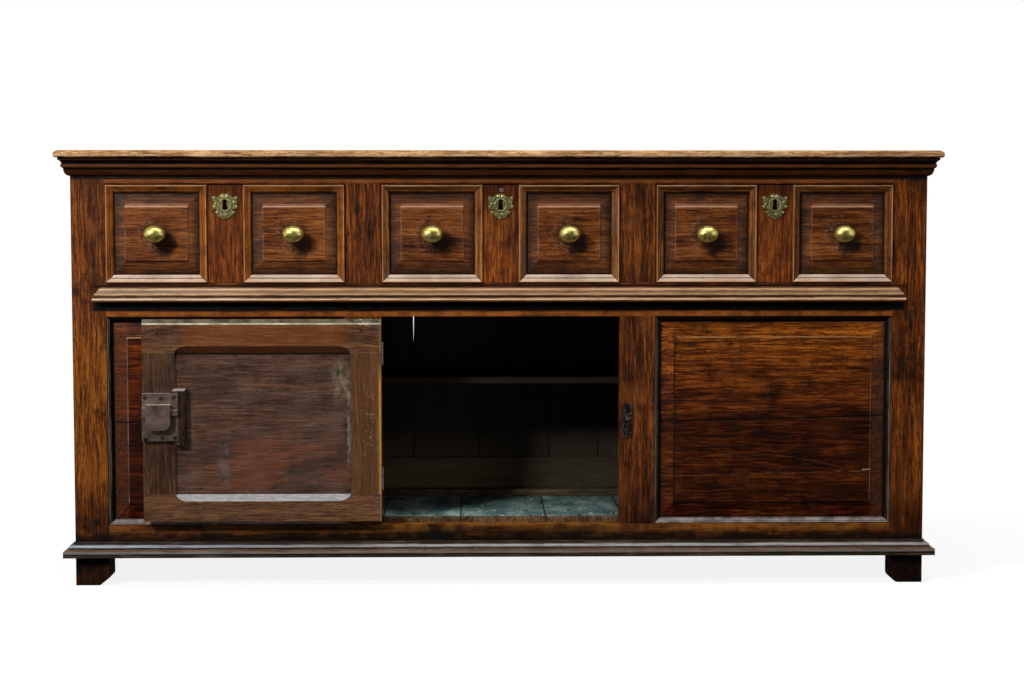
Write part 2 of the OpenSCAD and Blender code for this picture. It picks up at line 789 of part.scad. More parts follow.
// Floor boards run from front to back, and the outer ones are notched round the posts
module floor_boards() {
    edges = concat([-side_x - board_gap / 2], floor_joints, [side_x + board_gap / 2]);
    color(oak_floor) on_face() difference() {
        for (i = [0:len(edges) - 2])
            box([edges[i] + board_gap / 2, frame_t, floor_z - floor_t],
                [edges[i + 1] - board_gap / 2, inner_d, floor_z]);
        for (s = [0, 1]) mirror([s, 0, 0])
            box([half_w - post_w - fit_gap, -past, 0], [half_w, post_d + fit_gap, carcass_h]);
    }
}

// Half depth shelf, notched round the rear posts
module shelf() {
    color(oak_inside) on_face() difference() {
        box([-side_x, shelf_back, shelf_z - shelf_t], [side_x, back_y, shelf_z]);
        for (s = [0, 1]) mirror([s, 0, 0])
            box([half_w - rear_post_w - fit_gap, inner_d - fit_gap, 0], [half_w, back_y + past, carcass_h]);
    }
}

// Bearers under the floor boards and the shelf
module bearers() {
    floor_low = floor_z - floor_t - bearer_h;
    shelf_low = shelf_z - shelf_t - bearer_h;
    color(oak_inside) on_face() {
        for (y = [frame_t, inner_d - bearer_t])
            box([-half_w + post_w, y, floor_low], [half_w - post_w, y + bearer_t, floor_z - floor_t]);
        box([-half_w + rear_post_w, back_y - bearer_t, shelf_low],
            [half_w - rear_post_w, back_y, shelf_z - shelf_t]);
        for (s = [0, 1]) mirror([s, 0, 0])
            box([side_x - bearer_t, post_d, shelf_low], [side_x, inner_d, shelf_z - shelf_t]);
    }
}

// Runners under the drawer sides, each with a guide on top
module drawer_runners() {
    low = drawer_z - runner_t;
    guide_z = drawer_z + glue_gap;
    half = muntin_w / 2;
    post_x = half_w - post_w;
    color(oak_inside) on_face() {
        for (s = [-1, 1]) translate([s * bay_pitch / 2, 0, 0]) {
            box([-half - runner_ledge, frame_t, low], [half + runner_ledge, back_y, drawer_z]);
            box([-half, frame_t, guide_z], [half, inner_d, drawer_z + guide_h]);
        }
        for (s = [0, 1]) mirror([s, 0, 0]) {
            box([post_x - runner_ledge, frame_t, low], [post_x, back_y, drawer_z]);
            box([post_x, post_d, low], [side_x, inner_d, drawer_z]);
            box([post_x, post_d, guide_z], [side_x, inner_d, drawer_z + guide_h]);
        }
    }
}

// Turns the closed door about its hinge axis to where it lies open
module open_door() {
    translate([pin_x, pin_y, 0]) rotate([0, 0, door_open]) translate([-pin_x, -pin_y, 0]) children();
}

// Groove for the door panel, round the inside of the door frame
module door_groove() {
    box([door_x0 + hinge_stile_w - groove_d, door_groove_back, stile_z0 - groove_d],
        [door_x1 - lock_stile_w + groove_d, door_groove_back + tongue_t, stile_z1 + groove_d]);
}

module door_lock_stile() {
    color(oak_inside) on_face() open_door() difference() {
        box([door_x1 - lock_stile_w, 0, stile_z0], [door_x1, door_t, stile_z1]);
        door_groove();
        translate([door_keyhole_x, 0, lock_z]) standing(-past, door_t + past) keyhole_outline();
    }
}

module door_hinge_stile() {
    color(oak_inside) on_face() open_door() difference() {
        box([door_x0, 0, stile_z0], [door_x0 + hinge_stile_w, door_t, stile_z1]);
        door_groove();
        hinge_recesses(1);
    }
}

// A chamfer with curved stops, cut along the arris at the origin
// Up is 1 where it rises from the arris, and -1 where it drops
module stopped_chamfer(l, up) {
    straight = l / 2 - chamfer_stop;
    mirror([0, 0, up > 0 ? 0 : 1]) intersection() {
        run_along(l) polygon([[-chamfer_d, -past], [-chamfer_d, 0], [0, chamfer_h], [past, chamfer_h],
                              [past, -past]]);
        standing(-2 * chamfer_d, 2 * past) polygon(concat(
            arc([-straight, 0], chamfer_stop, chamfer_h, 180, 90, 8),
            arc([straight, 0], chamfer_stop, chamfer_h, 90, 0, 8),
            [[l / 2, -past], [-l / 2, -past]]));
    }
}

// Door rails run the full width, with stopped chamfers on the inside and a worn top edge
module door_rails() {
    l = door_panel_w - 2 * past;
    worn_y = -worn_edge_h * 0.3;
    color(oak_inside) on_face() open_door() difference() {
        union() {
            box([door_x0, 0, door_z0], [door_x1, door_t, stile_z0]);
            box([door_x0, 0, stile_z1], [door_x1, door_t, door_z1]);
        }
        door_groove();
        hinge_recesses(1);
        translate([door_panel_x, door_t, stile_z0]) stopped_chamfer(l, -1);
        translate([door_panel_x, door_t, stile_z1]) stopped_chamfer(l, 1);
        translate([(door_x0 + door_x1) / 2, door_t, door_z1 - worn_edge_h])
            run_along(door_x1 - door_x0 + 2 * past)
                polygon([[0, 0], [past, 0], [past, worn_edge_h + past], [worn_y, worn_edge_h + past],
                         [worn_y, worn_edge_h]]);
    }
}

// Door panel: flat inside, with a raised field on the outside
module door_panel() {
    w = door_panel_w + 2 * groove_d - 2 * fit_gap;
    h = door_panel_h + 2 * groove_d - 2 * fit_gap;
    y0 = door_groove_back + fit_gap;
    color(oak_inside) on_face() open_door() translate([door_panel_x, y0, door_panel_z]) {
        box([-w / 2, 0, -h / 2], [w / 2, tongue_t - 2 * fit_gap, h / 2]);
        raised_field(door_panel_w - 2 * bay_moulding_w, door_panel_h - 2 * bay_moulding_w,
                     door_field_rise, bay_bevel, bay_level_bevel);
    }
}

// Moulding round the outside of the door panel
module door_moulding() {
    seat = door_groove_back + fit_gap;
    color(oak_dark) on_face() open_door() translate([door_panel_x, seat, door_panel_z])
        moulding_frame(door_panel_w, door_panel_h, bay_moulding_w)
            ogee_profile(bay_moulding_w, seat + door_moulding_proud, moulding_foot);
}

// Recesses for the leaves, in the door for side 1 and in the muntin for side -1
module hinge_recesses(side) {
    for (z = hinge_levels) translate([pin_x, 0, z])
        mirror([side > 0 ? 0 : 1, 0, 0])
            box([0, -past, -hinge_h / 2 - fit_gap],
                [leaf_gap / 2 + leaf_t, leaf_w + fit_gap, hinge_h / 2 + fit_gap]);
}

// One leaf with its knuckles: own lists the thirds of its height that carry them
module hinge_leaf(own) {
    x1 = leaf_gap / 2 + leaf_t;
    clear_y = knuckle_d / 2 + slide_gap;
    box([leaf_gap / 2, clear_y, -hinge_h / 2], [x1, pin_out + leaf_w, hinge_h / 2]);
    for (k = own) {
        z0 = (k - 0.5) * knuckle_h + (k > -1 ? slide_gap / 2 : 0);
        z1 = (k + 0.5) * knuckle_h - (k < 1 ? slide_gap / 2 : 0);
        box([leaf_gap / 2, 0, z0], [x1, clear_y, z1]);
        translate([0, 0, z0]) cylinder(d = knuckle_d, h = z1 - z0);
    }
}

// Leaves on the muntin, bored for the pins that they hold
module hinge_frame_leaves() {
    color(iron) on_face() for (z = hinge_levels) translate([pin_x, pin_y, z]) difference() {
        mirror([1, 0, 0]) hinge_leaf([-1, 1]);
        cylinder(d = hinge_pin_d, h = 2 * hinge_h, center = true);
    }
}

// Leaves on the door, which turn on the pins
module hinge_door_leaves() {
    color(iron) on_face() open_door() for (z = hinge_levels) translate([pin_x, pin_y, z]) difference() {
        hinge_leaf([0]);
        cylinder(r = hinge_pin_d / 2 + pin_gap, h = 2 * hinge_h, center = true);
    }
}

module hinge_pins() {
    color(iron) on_face() for (z = hinge_levels) translate([pin_x, pin_y, z - hinge_h / 2])
        cylinder(d = hinge_pin_d, h = hinge_h);
}

// Block that packs the lock out: as small as the plate on the stile, and larger over the sunk panel
module lock_block() {
    chamfer = 6;
    x0 = door_x1 - block_w;
    over = door_x1 - lock_stile_w;
    panel_y = door_groove_back + tongue_t - fit_gap;
    rise = (block_h - plate_h) / 2;
    color(oak_inside) on_face() open_door() difference() {
        union() {
            translate([0, 0, lock_z]) standing(door_t, plate_y)
                polygon([[door_x1, -plate_h / 2], [door_x1, plate_h / 2], [over + rise, plate_h / 2],
                         [over, block_h / 2], [x0, block_h / 2], [x0, -block_h / 2], [over, -block_h / 2],
                         [over, -plate_h / 2]]);
            box([x0, panel_y, lock_z - block_h / 2], [over, door_t, lock_z + block_h / 2]);
        }
        translate([x0, plate_y, lock_z]) rotate([0, 0, 45])
            cube([chamfer, chamfer, 2 * block_h], center = true);
        translate([x0, plate_y, lock_z + block_h / 2]) rotate([45, 0, 0])
            cube([3 * block_w, chamfer, chamfer], center = true);
        translate([door_keyhole_x, 0, lock_z]) standing(-past, plate_y + past) keyhole_outline();
    }
}

module lock_plate() {
    color(iron) on_face() open_door() difference() {
        box([door_x1 - plate_w, plate_y, lock_z - plate_h / 2],
            [door_x1, plate_y + plate_t, lock_z + plate_h / 2]);
        translate([door_keyhole_x, 0, lock_z])
            standing(plate_y - past, plate_y + plate_t + past) keyhole_outline();
    }
}

// Lock case: straight sides, a rounded foot, and a channel through it for the bolt
module lock_case() {
    round_w = case_w * 0.3;
    x0 = door_x1 - case_in - case_w;
    x1 = door_x1 - case_in;
    z0 = lock_z - case_h / 2;
    z1 = lock_z + case_h / 2;
    y0 = plate_y + plate_t;
    color(iron) on_face() open_door() difference() {
        union() {
            box([x0, y0, z0 + round_w], [x1, y0 + case_t, z1]);
            box([x0 + round_w, y0, z0], [x1 - round_w, y0 + case_t, z0 + round_w]);
            for (x = [x0 + round_w, x1 - round_w]) translate([x, y0, z0 + round_w])
                rotate([-90, 0, 0]) cylinder(r = round_w, h = case_t);
        }
        box([x0 - past, y0 - past, lock_z + bolt_up - bolt_h / 2 - slide_gap],
            [x1 + past, bolt_y + bolt_t + slide_gap, lock_z + bolt_up + bolt_h / 2 + slide_gap]);
    }
}

// Bolt with a low tail, drawn back level with the free edge of the door
module lock_bolt() {
    tail_h = bolt_h * 0.55;
    x_head = door_x1 - 0.8;
    x_tail = door_x1 - case_in - case_w - bolt_tail;
    z = lock_z + bolt_up;
    color(iron) on_face() open_door() {
        box([x_head - case_w * 0.6, bolt_y, z - bolt_h / 2], [x_head, bolt_y + bolt_t, z + bolt_h / 2]);
        box([x_tail, bolt_y, z - tail_h / 2], [x_head - case_w * 0.6, bolt_y + bolt_t, z + tail_h / 2]);
    }
}

// Turn button on the right muntin, with a raised middle
module turn_button() {
    boss_l = button_l * 0.38;
    end_r = button_w * 0.5;
    color(iron) on_face() translate([button_x, 0, button_z]) difference() {
        union() {
            standing(button_y, -slide_gap) intersection() {
                square([button_w, button_l], center = true);
                union() {
                    square([button_w, button_l - end_r], center = true);
                    for (s = [-1, 1]) translate([0, s * (button_l / 2 - end_r * 1.3)]) circle(end_r * 1.3);
                }
            }
            standing(button_y - boss_t, button_y) square([button_w, boss_l], center = true);
        }
        rotate([90, 0, 0]) cylinder(r = screw_d / 2 + pin_gap, h = 4 * button_t);
    }
}

module turn_button_screw() {
    head_y = button_y - boss_t - slide_gap;
    head_r = screw_d * 0.9;
    color(iron) on_face() translate([button_x, head_y, button_z]) rotate([-90, 0, 0]) {
        cylinder(d = screw_d, h = screw_l - head_y);
        rotate_extrude() polygon(concat([[0, 0]], arc([0, 0], head_r, screw_head_h, 0, -90, 6)));
    }
}

// Places what belongs to one drawer: side is -1, 0 or 1
module at_drawer(side) {
    translate([side * bay_pitch, 0, 0]) children();
}

// Centres of the two raised panels of a drawer
module at_half_panels() {
    for (s = [-1, 1]) translate([s * knob_x, 0, drawer_mid_z]) children();
}

// Drawer front: slab, middle strip and two raised fields, with holes for knobs and key
module drawer_front(side) {
    w = half_panel_w - 2 * drawer_moulding_w;
    h = drawer_h - 2 * drawer_moulding_w;
    low = drawer_front_z;
    high = drawer_front_z + drawer_h;
    color(oak_dark) on_face() at_drawer(side) difference() {
        union() {
            box([-drawer_w / 2, drawer_slab_back, low], [drawer_w / 2, drawer_slab_y, high]);
            box([-drawer_strip_w / 2, 0, low], [drawer_strip_w / 2, drawer_slab_back, high]);
            at_half_panels() translate([0, drawer_slab_back, 0])
                raised_field(w, h, drawer_field_rise, drawer_bevel, drawer_level_bevel);
        }
        at_half_panels() rotate([-90, 0, 0])
            cylinder(d = shank_d + fit_gap, h = 3 * drawer_slab_y, center = true);
        translate([0, 0, keyhole_z]) standing(-past, drawer_slab_y) keyhole_outline();
        box([-lock_w / 2, drawer_slab_y - lock_t, high - lock_h],
            [lock_w / 2, drawer_slab_y + past, high + past]);
    }
}

// Mitred mouldings round both panels of a drawer
module drawer_moulding(side) {
    color(oak_dark) on_face() at_drawer(side) at_half_panels() translate([0, drawer_slab_back, 0])
        moulding_frame(half_panel_w, drawer_h, drawer_moulding_w)
            sloped_profile(drawer_moulding_w, drawer_slab_back + drawer_moulding_proud, moulding_foot);
}

// Drawer sides and back, standing on the bottom
module drawer_sides(side) {
    low = drawer_floor_z + drawer_bottom_t;
    high = drawer_front_z + drawer_h - drawer_side_drop;
    half = drawer_w / 2;
    color(oak_inside) on_face() at_drawer(side) {
        for (s = [0, 1]) mirror([s, 0, 0])
            box([half - drawer_side_t, drawer_slab_y, low], [half, drawer_back_y, high]);
        box([-half + drawer_side_t + glue_gap, drawer_back_y - drawer_side_t, low],
            [half - drawer_side_t - glue_gap, drawer_back_y, high]);
    }
}

// Drawer bottom, nailed up under the sides
module drawer_bottom(side) {
    color(oak_inside) on_face() at_drawer(side)
        box([-drawer_w / 2, drawer_slab_y, drawer_floor_z],
            [drawer_w / 2, drawer_back_y, drawer_floor_z + drawer_bottom_t]);
}

// Egg knobs: a rose, a turned neck, the egg across it, and a shank with a nut inside the drawer
module drawer_knobs(side) {
    egg_y = -knob_reach + knob_d / 2;
    field_y = drawer_slab_back - drawer_field_h;
    rose_r = 10;
    neck_r = 5.5;
    nut_r = 8;
    nut_t = 4;
    color(brass) on_face() at_drawer(side) at_half_panels() {
        rotate([90, 0, 0]) rotate_extrude() polygon(concat(
            [[0, -drawer_slab_y - nut_t], [nut_r, -drawer_slab_y - nut_t], [nut_r, -drawer_slab_y],
             [shank_d / 2, -drawer_slab_y], [shank_d / 2, -field_y], [rose_r, -field_y]],
            arc([rose_r - 1.5, -field_y + 1.5], 1.5, 1.5, -90, 90, 4),
            arc([rose_r - 1, -field_y + 8], rose_r - 1 - neck_r, 5, -90, -180, 5),
            [[neck_r + 1, -egg_y], [0, -egg_y]]));
        translate([0, egg_y, 0]) rotate([0, 90, 0]) rotate_extrude()
            polygon(concat(arc([0, 0], knob_d / 2, knob_l / 2, -90, 90, 20)));
    }
}

// Lobes of a cast escutcheon for a size of 1, on the right hand side: centre in X and Z, and radius
lobes = [[0.08, 0.37, 0.13], [0.425, 0.32, 0.075], [0.42, -0.02, 0.08], [0.32, -0.24, 0.06]];
// Outline between the lobes, from the crown to the foot
plate_points = [[0, 0.46], [0.17, 0.43], [0.31, 0.34], [0.42, 0.34], [0.48, 0.26], [0.455, 0.12], [0.43, 0.03],
                [0.4, -0.08], [0.28, -0.16], [0.35, -0.29], [0.25, -0.39], [0.13, -0.46], [0, -0.5]];

// Outline of a cast escutcheon, for a size of 1, about its centre
module escutcheon_outline() {
    for (s = [0, 1]) mirror([s, 0]) difference() {
        union() {
            for (lobe = lobes) translate([lobe[0], lobe[1]]) circle(lobe[2]);
            polygon(plate_points);
        }
        translate([-1, -1]) square([1, 2]);
    }
}

// A low round boss that rises forwards from the origin
module boss(r, h) {
    rotate([90, 0, 0]) cylinder(r1 = r, r2 = r * 0.6, h = h);
}

// Escutcheon: cast plate with a boss on each lobe, a raised ring round the keyhole and three pin heads
module escutcheon(side) {
    ring_r = escutcheon_size * 0.25;
    ring_w = 2;
    ring_h = 0.8;
    pin_r = 1.8;
    pins = [[-0.36, 0.09], [0.34, 0.17], [0.04, -0.32]];
    color(brass) on_face() at_drawer(side) translate([0, 0, escutcheon_z]) difference() {
        union() {
            standing(-escutcheon_t, 0) scale(escutcheon_size) escutcheon_outline();
            for (s = [-1, 1], lobe = lobes)
                translate([s * lobe[0] * escutcheon_size, -escutcheon_t, lobe[1] * escutcheon_size])
                    boss(lobe[2] * escutcheon_size * 0.55, ring_h);
            translate([0, 0, escutcheon_size * 0.05]) difference() {
                standing(-escutcheon_t - ring_h, 0) circle(ring_r);
                standing(-escutcheon_t - ring_h - past, -escutcheon_t) circle(ring_r - ring_w);
            }
            for (p = pins) translate([p[0] * escutcheon_size, -escutcheon_t, p[1] * escutcheon_size])
                intersection() {
                    sphere(pin_r);
                    box([-pin_r, -pin_r, -pin_r], [pin_r, 0, pin_r]);
                }
        }
        translate([0, 0, key_rise]) standing(-2 * escutcheon_t, past) keyhole_outline();
    }
}

// Drawer lock let into the back of the front, with a cover plate and a channel for its bolt
module drawer_lock(side) {
    high = drawer_front_z + drawer_h;
    y0 = drawer_slab_y - lock_t;
    color(iron) on_face() at_drawer(side) difference() {
        union() {
            box([-lock_w / 2 + fit_gap, y0, high - lock_h + fit_gap],
                [lock_w / 2 - fit_gap, drawer_slab_y, high]);
            box([-lock_w / 2 - lock_cover_over, drawer_slab_y, high - lock_h - lock_cover_over],
                [lock_w / 2 + lock_cover_over, drawer_slab_y + lock_cover_t, high]);
        }
        box([-lock_bolt_w / 2 - slide_gap, bolt_mid_y - lock_bolt_t / 2 - slide_gap, high - lock_bolt_h],
            [lock_bolt_w / 2 + slide_gap, bolt_mid_y + lock_bolt_t / 2 + slide_gap, high + past]);
        translate([0, 0, keyhole_z]) standing(y0 - past, bolt_mid_y) keyhole_outline();
    }
}

// Bolt of a drawer lock, drawn down level with the top of the drawer
module drawer_bolt(side) {
    high = drawer_front_z + drawer_h;
    color(iron) on_face() at_drawer(side)
        box([-lock_bolt_w / 2, bolt_mid_y - lock_bolt_t / 2, high - lock_bolt_h + slide_gap],
            [lock_bolt_w / 2, bolt_mid_y + lock_bolt_t / 2, high - slide_gap]);
}

top_boards();
cornice();
front_post(-1);  // front_post_left
front_post(1);  // front_post_right
rear_posts();
top_rail();
middle_rail();
bottom_rail();
drawer_muntins();
door_muntins();
waist_moulding();
base_moulding();
bay_panels();
bay_mouldings();
side_rails();
side_panels();
back_boards();
back_rails();
floor_boards();
shelf();
bearers();
drawer_runners();
door_lock_stile();
door_hinge_stile();
door_rails();
door_panel();
door_moulding();
hinge_frame_leaves();
hinge_door_leaves();
hinge_pins();
lock_block();
lock_plate();
lock_case();
lock_bolt();
turn_button();
turn_button_screw();
drawer_front(-1);  // left_drawer_front
drawer_moulding(-1);  // left_drawer_moulding
drawer_sides(-1);  // left_drawer_sides
drawer_bottom(-1);  // left_drawer_bottom
drawer_knobs(-1);  // left_drawer_knobs
escutcheon(-1);  // left_escutcheon
drawer_lock(-1);  // left_drawer_lock
drawer_bolt(-1);  // left_drawer_bolt
drawer_front(0);  // centre_drawer_front
drawer_moulding(0);  // centre_drawer_moulding
drawer_sides(0);  // centre_drawer_sides
drawer_bottom(0);  // centre_drawer_bottom
drawer_knobs(0);  // centre_drawer_knobs
escutcheon(0);  // centre_escutcheon
drawer_lock(0);  // centre_drawer_lock
drawer_bolt(0);  // centre_drawer_bolt
drawer_front(1);  // right_drawer_front
drawer_moulding(1);  // right_drawer_moulding
drawer_sides(1);  // right_drawer_sides
drawer_bottom(1);  // right_drawer_bottom
drawer_knobs(1);  // right_drawer_knobs
escutcheon(1);  // right_escutcheon
drawer_lock(1);  // right_drawer_lock
drawer_bolt(1);  // right_drawer_bolt
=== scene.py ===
import math

import bpy
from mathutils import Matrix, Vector


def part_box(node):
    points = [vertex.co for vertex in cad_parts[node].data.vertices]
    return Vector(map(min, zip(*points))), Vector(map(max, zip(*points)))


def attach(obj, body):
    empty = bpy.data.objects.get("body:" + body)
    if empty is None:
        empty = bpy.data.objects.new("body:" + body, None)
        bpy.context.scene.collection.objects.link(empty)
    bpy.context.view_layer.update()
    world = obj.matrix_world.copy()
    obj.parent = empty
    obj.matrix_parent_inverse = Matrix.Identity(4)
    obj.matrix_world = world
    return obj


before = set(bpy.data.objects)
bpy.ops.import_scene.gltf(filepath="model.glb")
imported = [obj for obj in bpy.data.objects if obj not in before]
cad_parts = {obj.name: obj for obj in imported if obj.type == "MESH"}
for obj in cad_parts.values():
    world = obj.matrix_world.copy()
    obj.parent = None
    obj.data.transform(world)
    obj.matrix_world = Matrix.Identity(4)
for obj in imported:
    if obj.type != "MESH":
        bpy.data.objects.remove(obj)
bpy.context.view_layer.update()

# Camera: it stands four metres in front of the dresser, a little left of its middle and just under
# the height of the top, and looks slightly down and to the right, as the photograph was taken.
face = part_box("bottom_rail")[0].y
lens = bpy.data.cameras.new("camera")
lens.sensor_width = 36
lens.lens = 70.3125
camera = bpy.data.objects.new("camera", lens)
camera.location = (-0.0667, face - 4.1645, 0.8071)
camera.rotation_euler = (math.radians(85.908), 0, math.radians(-1.2416))
bpy.context.scene.collection.objects.link(camera)
bpy.context.scene.camera = camera

# Studio: a small key lamp stands high at the front left, a long one hangs over the front edge of
# the top, a weak one fills in from the right, one lights the back and a faint one stands for what
# the floor throws into the cupboard. Black cloths darken the sheen, and the floor fades into white.
scene = bpy.context.scene
scene.view_settings.view_transform = "Standard"


class Value:
    """What varies over a surface. Arithmetic on it adds Math nodes."""

    def __init__(self, nodes, socket):
        self.nodes, self.socket = nodes, socket

    def math(self, operation, *values):
        return self.nodes.node("ShaderNodeMath", {"operation": operation}, dict(enumerate(values)))

    def __add__(self, other):
        return self.math("ADD", self, other)

    def __sub__(self, other):
        return self.math("SUBTRACT", self, other)

    def __rsub__(self, other):
        return self.math("SUBTRACT", other, self)

    def __mul__(self, other):
        return self.math("MULTIPLY", self, other)

    def __truediv__(self, other):
        return self.math("DIVIDE", self, other)

    def __abs__(self):
        return self.math("ABSOLUTE", self)

    __radd__, __rmul__ = __add__, __mul__

    def round(self):
        return self.math("ROUND", self)

    def above(self, other):
        return self.math("GREATER_THAN", self, other)

    def below(self, other):
        return self.math("GREATER_THAN", other, self)

    def most(self, other):
        return self.math("MAXIMUM", self, other)

    def least(self, other):
        return self.math("MINIMUM", self, other)

    def fade(self, start, end):
        """0 at start and 1 at end, or the other way round, with a smooth run between them."""
        low, high = (start, end) if start < end else (end, start)
        ends = {3: 0.0, 4: 1.0} if start < end else {3: 1.0, 4: 0.0}
        return self.nodes.node("ShaderNodeMapRange", {"interpolation_type": "SMOOTHSTEP"},
                               {0: self, 1: low, 2: high, **ends})

    def near(self, level, half, soft):
        """1 within half of a level, fading out over soft."""
        return abs(self - level).fade(half + soft, half)


class Nodes:
    """A node tree that is put together from values."""

    def __init__(self, tree):
        self.tree = tree

    def node(self, kind, settings=None, inputs=None, output=0):
        """Adds a node: its settings come first, then the values or links of its sockets."""
        new = self.tree.nodes.new(kind)
        for name, value in (settings or {}).items():
            if name == "stops":
                marks = new.color_ramp.elements
                marks[0].position, marks[0].color = value[0]
                marks[1].position, marks[1].color = value[-1]
                for position, tone in value[1:-1]:
                    marks.new(position).color = tone
            else:
                setattr(new, name, value)
        for socket, value in (inputs or {}).items():
            if isinstance(value, Value):
                self.tree.links.new(value.socket, new.inputs[socket])
            else:
                new.inputs[socket].default_value = value
        return Value(self, new.outputs[output])

    def seen(self):
        """1 for rays from the camera, off a shiny face or through glass, and 0 for soft light."""
        kinds = [self.node("ShaderNodeLightPath", output=f"Is {kind} Ray")
                 for kind in ("Camera", "Glossy", "Transmission")]
        return kinds[0].most(kinds[1]).most(kinds[2])


def soft_lamp(name, place, target, width, height, power, tint):
    light = bpy.data.lights.new(name, "AREA")
    light.shape = "RECTANGLE"
    light.size, light.size_y, light.energy, light.color = width, height, power, tint
    lamp = bpy.data.objects.new(name, light)
    lamp.location = place
    lamp.rotation_euler = (Vector(target) - Vector(place)).to_track_quat("-Z", "Y").to_euler()
    scene.collection.objects.link(lamp)
    return lamp


def studio_sheet(name, size, place, tilt, grey):
    """A flat sheet of paper or cloth that belongs to the studio."""
    bpy.ops.object.select_all(action="DESELECT")
    bpy.ops.mesh.primitive_plane_add(size=1, location=place, rotation=(tilt, 0, 0))
    sheet = bpy.context.object
    sheet.name, sheet.scale = name, (*size, 1)
    stuff = bpy.data.materials.new(name)
    stuff.use_nodes = True
    cover = stuff.node_tree.nodes["Principled BSDF"]
    looks = {"Base Color": (grey, grey, grey, 1), "Roughness": 1.0, "Specular IOR Level": 0.0}
    for socket, value in looks.items():
        cover.inputs[socket].default_value = value
    sheet.data.materials.append(stuff)
    return sheet, Nodes(stuff.node_tree)


warm, cool = (1.0, 0.97, 0.92), (0.95, 0.97, 1.0)
soft_lamp("key_lamp", (-2.7, face - 2.9, 2.6), (0.05, face, 0.5), 0.45, 0.45, 118, warm)
soft_lamp("overhead_lamp", (0.1, face - 0.55, 2.7), (0.05, face - 0.1, 0.5), 2.8, 0.6, 42, cool)
soft_lamp("right_lamp", (3.2, face - 2.4, 1.5), (0.3, face, 0.5), 1.2, 1.2, 6, cool)
soft_lamp("back_lamp", (0.9, 3.6, 2.0), (0.0, 0.2, 0.4), 2.4, 1.6, 46, (1.0, 0.98, 0.95))
bounce = soft_lamp("bounce_lamp", (0.1, face - 1.3, 0.3), (0.05, 0.2, 0.2), 1.2, 0.3, 1.5, (1.0, 0.95, 0.88))
bounce.visible_glossy = False

scene.world = bpy.data.worlds.new("studio")
scene.world.use_nodes = True
sky = Nodes(scene.world.node_tree)
background = sky.tree.nodes["Background"]
background.inputs["Color"].default_value = (1, 1, 1, 1)
soft_sky = 0.06
sky.tree.links.new((sky.seen() * (1 - soft_sky) + soft_sky).socket, background.inputs["Strength"])

# The floor's Object coordinates run from -0.5 to 0.5 over its whole width.
floor_width, floor_glow = 400, 0.86
paper = studio_sheet("studio_floor", (floor_width, floor_width), (0, 0, 0), 0, 0.25)[1]
away = paper.node("ShaderNodeVectorMath", {"operation": "LENGTH"},
                  {0: paper.node("ShaderNodeTexCoord", output="Object")}, output=1)
strength = paper.seen() * (away.fade(0.8 / floor_width, 3.6 / floor_width) * (1 - floor_glow) + floor_glow)
glow = paper.node("ShaderNodeEmission", inputs={"Strength": strength})
matt_paper = Value(paper, paper.tree.nodes["Principled BSDF"].outputs[0])
both = paper.node("ShaderNodeAddShader", inputs={0: matt_paper, 1: glow})
paper.tree.links.new(both.socket, paper.tree.nodes["Material Output"].inputs["Surface"])
for name, size, place, tilt in (("studio_flag", (9.0, 5.0), (0, face - 5.0, 2.5), math.radians(90)),
                                ("studio_cloth", (6.0, 7.0), (0, face - 1.5, 0.0005), 0)):
    cloth = studio_sheet(name, size, place, tilt, 0.01)[0]
    cloth.visible_camera = cloth.visible_diffuse = cloth.visible_shadow = cloth.visible_transmission = False

# Front frame: posts, rails and muntins of riven oak, mortised, tenoned and pegged. Three centuries
# of wax and smoke turned it reddish brown, paler on its edges; painted shade blackens it by the mouldings.


def colour(red, green, blue):
    """A screen colour, 0 to 255, as the linear colour that a socket takes."""
    def linear(c):
        return c / 3294.6 if c <= 10 else ((c / 255 + 0.055) / 1.055) ** 2.4

    return linear(red), linear(green), linear(blue), 1


def times(tone, factor):
    """The same screen colour, made darker or lighter."""
    return colour(*(min(255, c * factor) for c in tone))


